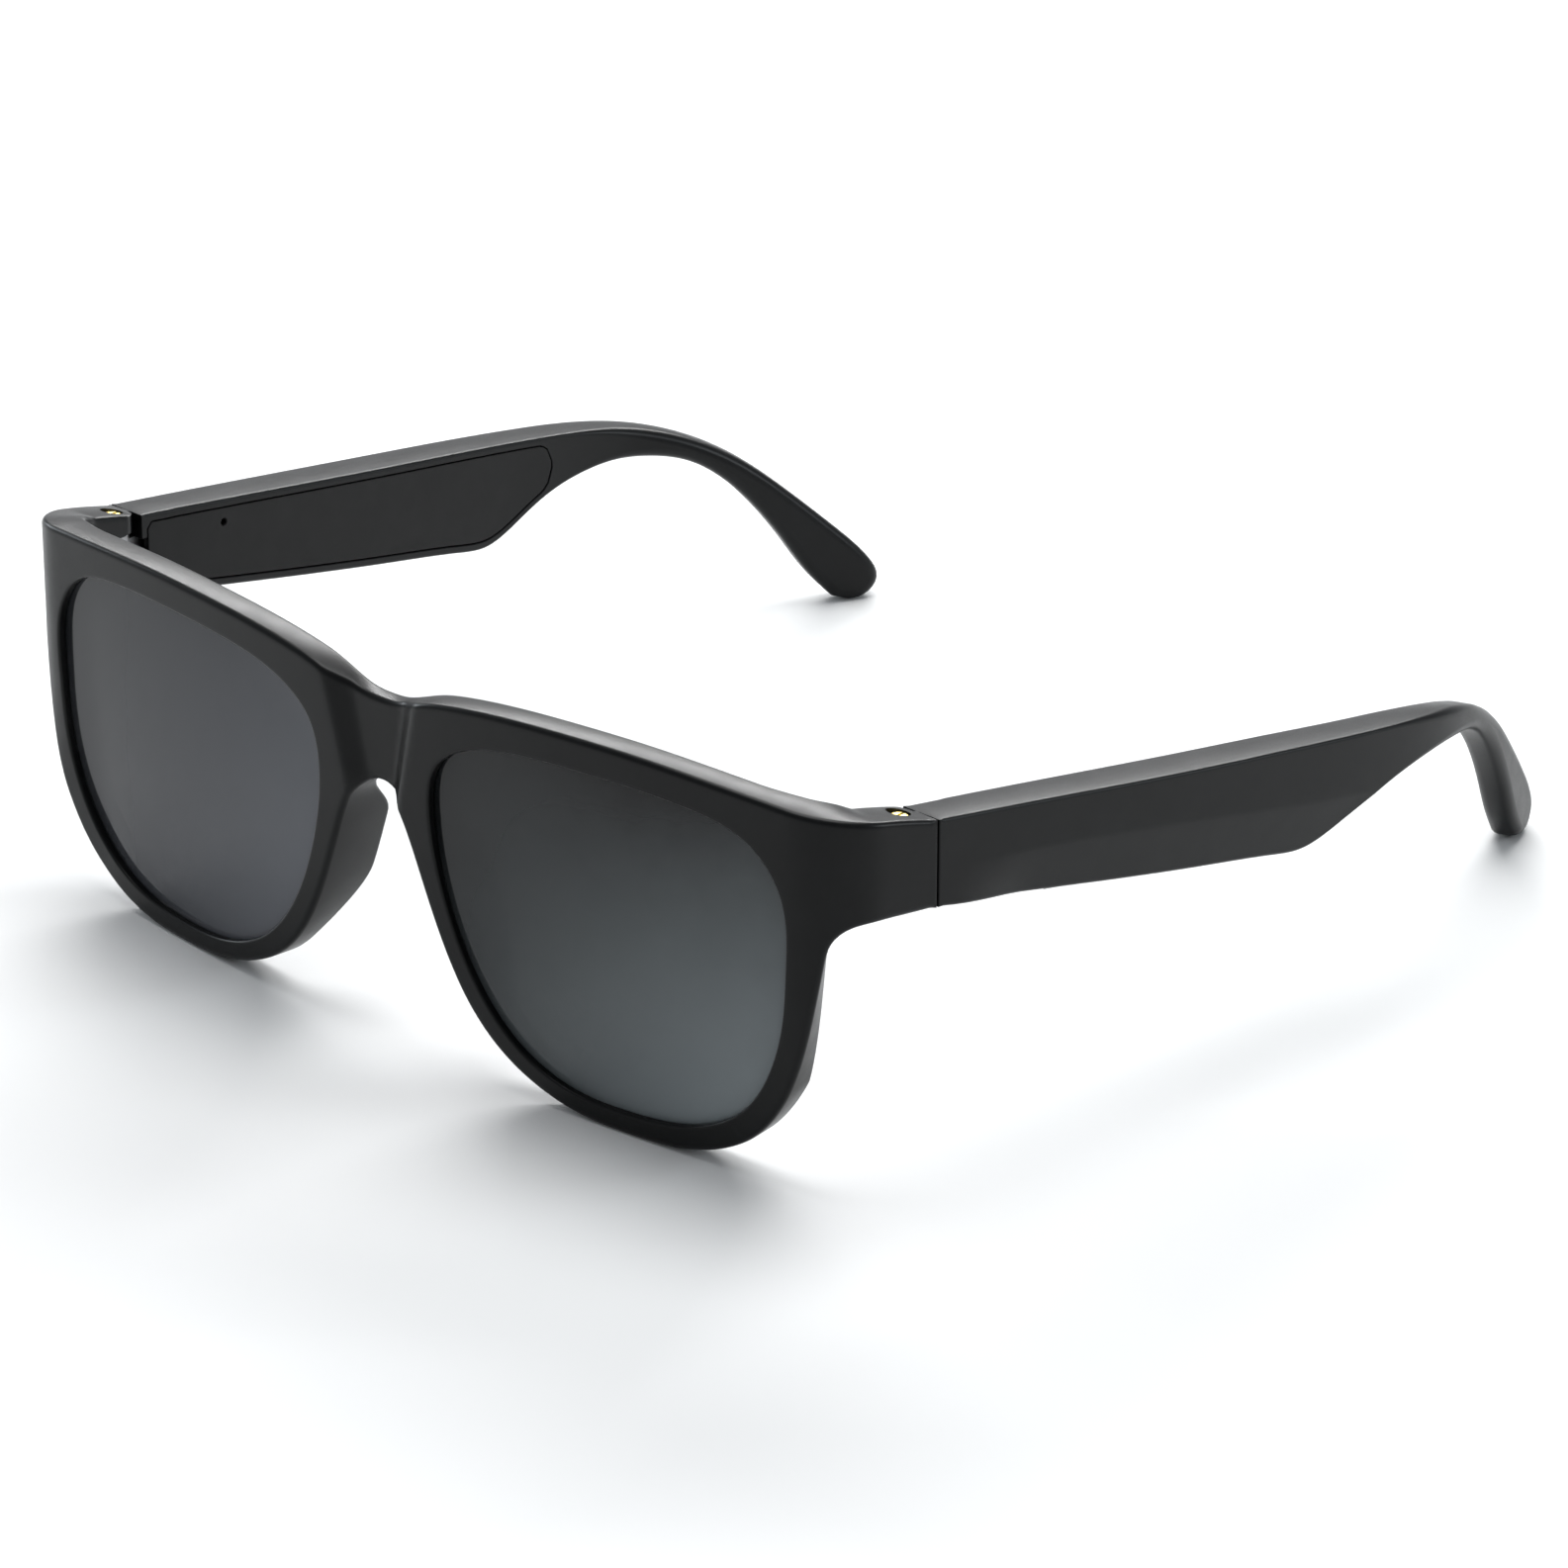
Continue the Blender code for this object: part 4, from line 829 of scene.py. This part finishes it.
def make_pin(side, tag):
    """A slotted pin with a domed head, from its lower end up."""
    low, neck, top = CAVITY_BOTTOM + 0.15, CAVITY_TOP + 0.1, PIN_TOP
    ends = ((side * PIN_X, PIN_Y, low), (side * PIN_X, PIN_Y, top))
    shaft = [(0, PIN_RADIUS - 0.1), (0.1, PIN_RADIUS), (neck - low, PIN_RADIUS)]
    rise = top - low
    dome = [(rise - 0.35 * (1 - math.sin(t)), PIN_HEAD_RADIUS * (0.55 + 0.45 * math.cos(t)))
            for t in np.linspace(0, math.pi / 2, 7)]
    head = [(neck - low, PIN_HEAD_RADIUS - 0.08), (neck - low + 0.08, PIN_HEAD_RADIUS)] + dome
    pin = piece_of(f"{tag}_pin_turned", turned(*ends, shaft + head))
    reach = PIN_HEAD_RADIUS + 0.5
    slot = rectangle(PIN_X - PIN_SLOT_HALF, PIN_X + PIN_SLOT_HALF, PIN_Y - reach, PIN_Y + reach)
    cut(pin, prism(slot, PIN_TOP - PIN_SLOT_DEPTH, PIN_TOP + 0.5, side))
    finish_shading(pin, 40)
    finished(pin, "brass", "front", f"{tag}_hinge_pin")


def make_screw(name, head, tip, body, node):
    """A pan-head screw with a cross recess and a threaded shank, from its head towards tip."""
    head, tip = Vector(head), Vector(tip)
    length = (tip - head).length
    edge, root = 0.14, SCREW_RADIUS - THREAD_DEPTH
    profile = [(0, SCREW_HEAD_RADIUS - 0.3), (0.05, SCREW_HEAD_RADIUS - edge), (edge, SCREW_HEAD_RADIUS),
               (SCREW_HEAD, SCREW_HEAD_RADIUS), (SCREW_HEAD, root)]
    for i in range(int((length - SCREW_HEAD - 0.5) / THREAD_PITCH)):
        start = SCREW_HEAD + 0.1 + i * THREAD_PITCH
        profile += [(start + part * THREAD_PITCH, radius) for part, radius in
                    ((0, root), (0.4, SCREW_RADIUS), (0.6, SCREW_RADIUS), (0.99, root))]
    profile += [(length - 0.05, SCREW_RADIUS - 0.2), (length, 0.15)]
    screw = piece_of(name, turned(head, tip, profile, 32))
    along = (tip - head).normalized()
    up = Vector((0, 0, 1))
    for bar in (up, along.cross(up)):
        cut(screw, blade(head, along, bar, 0.62, 0.14, 0.32))
    finish_shading(screw, 40)
    finished(screw, "steel", body, node)


def blade(spot, along, bar, reach, half, depth):
    """A flat block across a screw head: the cutter for one bar of its cross recess."""
    other = along.cross(bar)
    middle = spot + Vector((0, -MID_DEPTH, FLOOR_DROP))
    shape = bmesh.new()
    rows = []
    for level in (-0.3, depth):
        corners = ((-reach, -half), (reach, -half), (reach, half), (-reach, half))
        spots = [middle + along * level + bar * a + other * b for a, b in corners]
        rows.append([shape.verts.new(p * MM) for p in spots])
    close_tube(shape, rows)
    return shape


def make_hinge(side, tag):
    """Bracket, leaf and pin, with the screw that holds each leaf."""
    make_bracket(side, tag)
    make_leaf(side, tag)
    make_pin(side, tag)
    seat = BRACKET_GAP + BRACKET_PLATE + 0.05
    head, tip = bracket_screw_line(side, seat + SCREW_HEAD, -3.1)
    make_screw(f"{tag}_bracket_fastener", head, tip, "front", f"{tag}_bracket_screw")
    head, tip = strap_screw_line(side, -STRAP_HALF - 0.1 - SCREW_HEAD, 2.3)
    make_screw(f"{tag}_leaf_fastener", head, tip, f"{tag}_temple", f"{tag}_leaf_screw")


# Small pieces in the underside

def make_button(side, tag):
    """The key in the underside: a rounded cap in the slot and a wider flange inside that keeps it in."""
    cap = under_shape(side, (BUTTON_FROM, BUTTON_TO), -0.33, 2.5, (BUTTON_OUTER, BUTTON_INNER))
    key = piece_of(f"{tag}_key", cap)
    flange = under_shape(side, (BUTTON_FROM - 0.7, BUTTON_TO + 0.7), 2.4, 2.73,
                         (BUTTON_OUTER + 0.05, BUTTON_INNER - 0.05))
    join(key, flange)
    soften(key, 0.22, 4)
    finished(key, "cover_black", f"{tag}_button", f"{tag}_button")


def make_contact(side, tag, u, place):
    """A gold charging contact with a rounded rim and a shallow dish in its face."""
    ends = underside_line(side, u, UNDER_MIDDLE, 0.2, 2.8)
    radius, length = CONTACT_RADIUS, 2.6
    profile = [(0.12, 0.1), (0.1, 0.35), (0.0, 0.62), (0.03, 0.78), (0.12, radius),
               (length - 0.1, radius), (length, radius - 0.1)]
    contact = piece_of(f"{tag}_contact_{place}", turned(*ends, profile))
    finished(contact, "gold_contact", f"{tag}_temple", f"{tag}_charging_contact_{place}")


def make_grille(side, tag):
    """The perforated plate in the sound outlet."""
    span = (OUTLET_FROM + 0.2, OUTLET_TO - 0.2)
    plate = under_shape(side, span, 0.45, 0.95, (2.95, 4.45))
    grille = piece_of(f"{tag}_sound_grille", plate)
    for row, depth in enumerate(GRILLE_ROWS):
        first = span[0] + 0.4 + 0.5 * GRILLE_PITCH * (row % 2)
        for u in np.arange(first, span[1] - 0.25, GRILLE_PITCH):
            cut(grille, rod(*underside_line(side, u, depth, -0.5, 2), GRILLE_HOLE, 12))
    finish_shading(grille)
    finished(grille, "mesh_dark", f"{tag}_temple", f"{tag}_speaker_mesh")


# Materials: all patterns are in millimetres of the real object

class Look:
    """A material being built: node calls over the real object's own coordinates."""

    def __init__(self, name, metallic=0.0):
        self.material = bpy.data.materials.new(name)
        self.material.use_nodes = True
        self.nodes = self.material.node_tree.nodes
        self.links = self.material.node_tree.links
        self.shader = self.nodes["Principled BSDF"]
        self.shader.inputs["Metallic"].default_value = metallic
        self.where = self.node("ShaderNodeMapping", Vector=self.node("ShaderNodeTexCoord").outputs["Object"])
        self.where.inputs["Scale"].default_value = (1000, 1000, 1000)
        self.edge = self.node("ShaderNodeNewGeometry").outputs["Pointiness"]

    def node(self, kind, **inputs):
        made = self.nodes.new(kind)
        for name, value in inputs.items():
            self.put(made.inputs[name.replace("_", " ")], value)
        return made

    def put(self, socket, value):
        if isinstance(value, bpy.types.NodeSocket):
            self.links.new(value, socket)
        else:
            socket.default_value = value

    def noise(self, scale, detail=3.0, roughness=0.5, stretch=None):
        where = self.where.outputs["Vector"]
        if stretch:
            where = self.node("ShaderNodeMapping", Vector=where, Scale=stretch).outputs["Vector"]
        made = self.node("ShaderNodeTexNoise", Vector=where, Scale=scale, Detail=detail, Roughness=roughness)
        return made.outputs["Fac"]

    def ramp(self, factor, *stops):
        made = self.node("ShaderNodeValToRGB", Fac=factor)
        marks = made.color_ramp.elements
        while len(marks) < len(stops):
            marks.new(0.5)
        for mark, (place, colour) in zip(marks, stops):
            mark.position = place
            mark.color = (*colour, 1)
        return made.outputs["Color"]

    def span(self, factor, low, high, to_low, to_high):
        made = self.node("ShaderNodeMapRange", Value=factor)
        for name, value in (("From Min", low), ("From Max", high), ("To Min", to_low), ("To Max", to_high)):
            made.inputs[name].default_value = value
        return made.outputs["Result"]

    def blend(self, factor, one, other):
        made = self.nodes.new("ShaderNodeMix")
        made.data_type = "RGBA"
        self.put(made.inputs[0], factor)
        self.put(made.inputs[6], one)
        self.put(made.inputs[7], other)
        return made.outputs[2]

    def sum(self, one, other, operation="ADD"):
        made = self.nodes.new("ShaderNodeMath")
        made.operation = operation
        self.put(made.inputs[0], one)
        self.put(made.inputs[1], other)
        return made.outputs[0]

    def surface(self, colour, roughness):
        self.put(self.shader.inputs["Base Color"], colour)
        self.put(self.shader.inputs["Roughness"], roughness)

    def bump(self, height, distance, strength=0.5):
        made = self.node("ShaderNodeBump", Height=height, Strength=strength, Distance=distance * MM)
        self.put(self.shader.inputs["Normal"], made.outputs["Normal"])


def moulded(name, dark, light, rough, grain):
    """Satin moulded plastic: cloudy tone, fine spark-eroded grain, convex edges lighter and handled smooth,
    partly handling wear and partly a painted highlight.
    """
    look = Look(name)
    cloud = look.noise(0.12, 4)
    tone = look.ramp(cloud, (0.35, dark), (0.68, light))
    # Convex edges lighten: partly handling wear, partly a painted highlight.
    edge_wear_and_painted_highlight = look.span(look.edge, 0.515, 0.56, 0, 0.55)
    edge_wear_and_painted_highlight = look.sum(edge_wear_and_painted_highlight, look.span(look.noise(0.7, 4), 0.4, 0.62, 0.2, 1), "MULTIPLY")
    # Colour of the lightened edges: partly wear, partly painted highlight.
    wear_and_highlight_colour = tuple(2.2 * part for part in light)
    colour = look.blend(edge_wear_and_painted_highlight, tone, (*wear_and_highlight_colour, 1))
    smears = look.span(look.noise(0.35, 5, 0.6), 0.3, 0.7, rough - 0.025, rough + 0.03)
    fine = look.span(look.noise(6, 2), 0.3, 0.7, -0.03, 0.03)
    gloss = look.sum(look.sum(smears, fine), look.span(edge_wear_and_painted_highlight, 0, 1, 0, -0.08))
    look.surface(colour, gloss)
    look.shader.inputs["Specular IOR Level"].default_value = 0.19
    look.bump(look.noise(7.5, 3, 0.6), grain, 0.35)
    return look.material


def tinted_glass_with_painted_reflection(name):
    """Dark grey lens with a painted reflection: light and dark bands across the lenses, not the same on both,
    darker towards the top and lighter low down, with faint wiping marks.
    """
    look = Look(name)
    where = look.node("ShaderNodeSeparateXYZ", Vector=look.where.outputs["Vector"]).outputs
    drift = look.span(look.noise(0.05, 3), 0, 1, -6, 6)
    across = look.span(look.sum(where["X"], drift), -72, 72, 0, 1)
    # Painted reflection: light and dark bands across the two lenses, different on each.
    side = look.ramp(across, (0.03, (0.010, 0.011, 0.012)), (0.30, (0.105, 0.110, 0.125)),
                     (0.44, (0.17, 0.18, 0.205)), (0.56, (0.004, 0.0044, 0.005)), (0.90, (0.27, 0.305, 0.32)))
    low = look.span(look.sum(where["Z"], drift), 4, 46, 0, 1)
    # The painted reflection fades to dark towards the top, more on one lens than on the other.
    painted_reflection_fade = look.sum(low, look.span(across, 0.42, 0.58, 0.55, 1.0), "MULTIPLY")
    # Lens colour: dark grey tint with the painted reflection over it.
    tint_and_painted_reflection = look.blend(painted_reflection_fade, side, (0.005, 0.0056, 0.0062, 1))
    smears = look.noise(0.12, 4, 0.5, (1, 1, 0.35))
    look.surface(tint_and_painted_reflection, look.span(smears, 0.35, 0.7, 0.06, 0.09))
    look.shader.inputs["IOR"].default_value = 1.5
    look.shader.inputs["Specular IOR Level"].default_value = 0.25
    look.put(look.shader.inputs["Alpha"], look.span(low, 0, 1, 0.93, 0.97))
    return look.material


def metal(name, dark, light, rough, brush=(1, 1, 1)):
    """Turned or plated metal: brushed streaks, small pits and lighter edges, partly polish and partly a painted
    highlight.
    """
    look = Look(name, 1.0)
    streak = look.noise(5, 5, 0.6, brush)
    tone = look.ramp(streak, (0.3, dark), (0.7, light))
    # Convex edges lighten: partly polish, partly a painted highlight.
    edge_wear_and_painted_highlight = look.span(look.edge, 0.51, 0.57, 0, 0.5)
    colour = look.blend(edge_wear_and_painted_highlight, tone, (*(min(1, 1.25 * part) for part in light), 1))
    look.surface(colour, look.span(look.noise(2.2, 4), 0.3, 0.7, rough - 0.08, rough + 0.1))
    look.bump(streak, 0.004, 0.4)
    return look.material


def board(name):
    """Green solder mask over copper tracks, with tinned pads."""
    look = Look(name)
    cells = look.node("ShaderNodeTexVoronoi", Vector=look.where.outputs["Vector"], Scale=0.9)
    cells.distance = "CHEBYCHEV"
    track = look.span(cells.outputs["Distance"], 0.30, 0.34, 0, 1)
    pad = look.span(cells.outputs["Distance"], 0.13, 0.11, 0, 1)
    mask = look.blend(track, (0.012, 0.10, 0.035, 1), (0.006, 0.055, 0.02, 1))
    gloss = look.span(look.noise(3, 3), 0.3, 0.7, 0.28, 0.42)
    look.surface(look.blend(pad, mask, (0.55, 0.55, 0.5, 1)), gloss)
    look.put(look.shader.inputs["Metallic"], pad)
    look.bump(track, 0.02, 0.6)
    return look.material


def flexible(name):
    """Amber film with copper lines under it."""
    look = Look(name)
    wave = look.node("ShaderNodeTexWave", Vector=look.where.outputs["Vector"], Scale=0.9, Distortion=0.6)
    wave.bands_direction = "Z"
    line = look.span(wave.outputs["Fac"], 0.55, 0.65, 0, 1)
    film = look.ramp(look.noise(0.5, 3), (0.3, (0.34, 0.13, 0.02)), (0.7, (0.46, 0.20, 0.035)))
    gloss = look.span(look.noise(2, 3), 0.3, 0.7, 0.25, 0.4)
    look.surface(look.blend(line, film, (0.62, 0.27, 0.08, 1)), gloss)
    look.bump(line, 0.01, 0.5)
    return look.material


def foil(name):
    """Crinkled silver foil of a battery or a shield."""
    look = Look(name, 0.9)
    crinkle = look.noise(0.9, 6, 0.65)
    tone = look.ramp(crinkle, (0.3, (0.42, 0.43, 0.45)), (0.7, (0.62, 0.63, 0.65)))
    look.surface(tone, look.span(look.noise(1.5, 4), 0.3, 0.7, 0.24, 0.42))
    look.bump(crinkle, 0.05, 0.5)
    return look.material


def make_looks():
    return {
        "frame_black": moulded("satin_black_moulding", (0.0026, 0.0029, 0.0032), (0.0042, 0.0047, 0.0050),
                               0.33, 0.006),
        "lens_grey": tinted_glass_with_painted_reflection("grey_lens_with_painted_reflection"),
        "cover_black": moulded("matt_black_cover", (0.0056, 0.0056, 0.0057), (0.0072, 0.0072, 0.0073),
                               0.46, 0.009),
        "steel": metal("hinge_steel", (0.16, 0.16, 0.165), (0.28, 0.28, 0.285), 0.36, (1, 1, 0.2)),
        "brass": metal("pin_brass", (0.86, 0.60, 0.16), (1.0, 0.80, 0.30), 0.34, (1, 1, 0.3)),
        "gold_contact": metal("plated_gold", (0.75, 0.52, 0.18), (0.92, 0.70, 0.30), 0.2),
        "board_green": board("circuit_green"),
        "foil_silver": foil("silver_foil"),
        "flex_amber": flexible("amber_film"),
        "speaker_black": moulded("speaker_moulding", (0.014, 0.014, 0.015), (0.022, 0.022, 0.023),
                                 0.5, 0.012),
        "mesh_dark": metal("grille_metal", (0.05, 0.05, 0.053), (0.10, 0.10, 0.105), 0.4),
        "magnet_nickel": metal("magnet_plating", (0.48, 0.48, 0.47), (0.66, 0.66, 0.65), 0.25),
    }


LOOKS = make_looks()
REPLACED = set()


def finished(piece, slot, body, node):
    """Gives a piece its material, its CAD body and the CAD node that it stands for."""
    piece.data.materials.clear()
    piece.data.materials.append(LOOKS[slot])
    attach(piece, body)
    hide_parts(node)
    REPLACED.add(node)


def dress_carried_nodes(frame):
    """The CAD nodes that stay, inside the temples, take the same procedural materials by their slots."""
    for name, node in frame["nodes"].items():
        if name in REPLACED:
            continue
        for place in node.material_slots:
            slot = next(key for key in LOOKS if place.material.name.startswith(key))
            place.material = LOOKS[slot]


# Stage, light and camera

def make_floor():
    """A pale matt floor, wide enough for a view from a low angle."""
    bpy.ops.mesh.primitive_plane_add(size=80)
    floor = bpy.context.object
    floor.name = "studio_floor"
    look = Look("pale_floor")
    tone = look.ramp(look.noise(0.004, 3), (0.3, (0.83, 0.84, 0.84)), (0.7, (0.86, 0.865, 0.865)))
    look.surface(tone, look.span(look.noise(0.02, 3), 0.3, 0.7, 0.6, 0.72))
    look.shader.inputs["Specular IOR Level"].default_value = 0.2
    floor.data.materials.append(look.material)


def softbox(name, spot, aim, size, power, colour=(1, 1, 1)):
    data = bpy.data.lights.new(name, "AREA")
    data.shape = "RECTANGLE"
    data.size, data.size_y = size
    data.energy = power
    data.color = colour
    light = bpy.data.objects.new(name, data)
    light.location = spot
    light.rotation_euler = (Vector(aim) - Vector(spot)).to_track_quat("-Z", "Y").to_euler()
    bpy.context.scene.collection.objects.link(light)


def make_lights():
    softbox("overhead", (-0.1, 0.15, 1.0), (0, 0, 0), (0.8, 0.6), 8.4)
    softbox("behind", (-1.0, 1.04, 0.82), (0, 0, 0.04), (1.5, 0.34), 9.5)
    softbox("behind_strip", (-0.80, 0.95, 0.78), (0, 0, 0.04), (1.1, 0.07), 9.0)
    softbox("left_strip", (-1.1, -0.1, 0.35), (-0.02, 0, 0.02), (0.5, 0.3), 3.0, (0.88, 0.95, 1.0))
    softbox("right_fill", (0.9, 0.9, 0.5), (0.03, 0, 0.02), (0.5, 0.35), 3.0, (0.90, 0.96, 1.0))
    make_surroundings()


def make_surroundings():
    """Soft grey room that brightens towards the horizon, where it meets the floor."""
    world = bpy.data.worlds.new("studio")
    world.use_nodes = True
    nodes, links = world.node_tree.nodes, world.node_tree.links
    back = nodes["Background"]
    back.inputs["Color"].default_value = (0.93, 0.96, 1.0, 1)
    parts = nodes.new("ShaderNodeSeparateXYZ")
    links.new(nodes.new("ShaderNodeTexCoord").outputs["Generated"], parts.inputs["Vector"])
    fade = nodes.new("ShaderNodeMapRange")
    fade.interpolation_type = "SMOOTHSTEP"
    for name, value in (("From Min", 0.02), ("From Max", 0.30), ("To Min", 0.42), ("To Max", 0.28)):
        fade.inputs[name].default_value = value
    links.new(parts.outputs["Z"], fade.inputs["Value"])
    links.new(fade.outputs["Result"], back.inputs["Strength"])
    bpy.context.scene.world = world


def make_camera():
    data = bpy.data.cameras.new("photo_angle")
    data.lens = CAMERA_LENS
    data.sensor_width = CAMERA_SENSOR
    data.clip_start, data.clip_end = 0.05, 20
    camera = bpy.data.objects.new("photo_angle", data)
    camera.location = CAMERA_SPOT
    camera.rotation_euler = (math.radians(CAMERA_TILT), 0, math.radians(CAMERA_TURN))
    bpy.context.scene.collection.objects.link(camera)
    bpy.context.scene.camera = camera
    bpy.context.scene.view_settings.view_transform = "Standard"


def main():
    make_camera()
    make_lights()
    make_floor()
    make_front()
    for side, tag in ((1, "left"), (-1, "right")):
        make_lens(side, tag)
        make_shell(side, tag)
        make_cover(side, tag)
        make_hinge(side, tag)
        make_button(side, tag)
        make_grille(side, tag)
        for u, place in zip(CONTACTS, ("front", "rear")):
            make_contact(side, tag, u, place)
    dress_carried_nodes(frame)


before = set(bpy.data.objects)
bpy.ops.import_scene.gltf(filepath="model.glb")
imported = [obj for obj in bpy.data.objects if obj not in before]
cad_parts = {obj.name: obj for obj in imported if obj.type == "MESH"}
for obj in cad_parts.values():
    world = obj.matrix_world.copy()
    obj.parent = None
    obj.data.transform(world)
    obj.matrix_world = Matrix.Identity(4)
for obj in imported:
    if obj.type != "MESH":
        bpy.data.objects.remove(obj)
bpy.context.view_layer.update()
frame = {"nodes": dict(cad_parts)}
main()
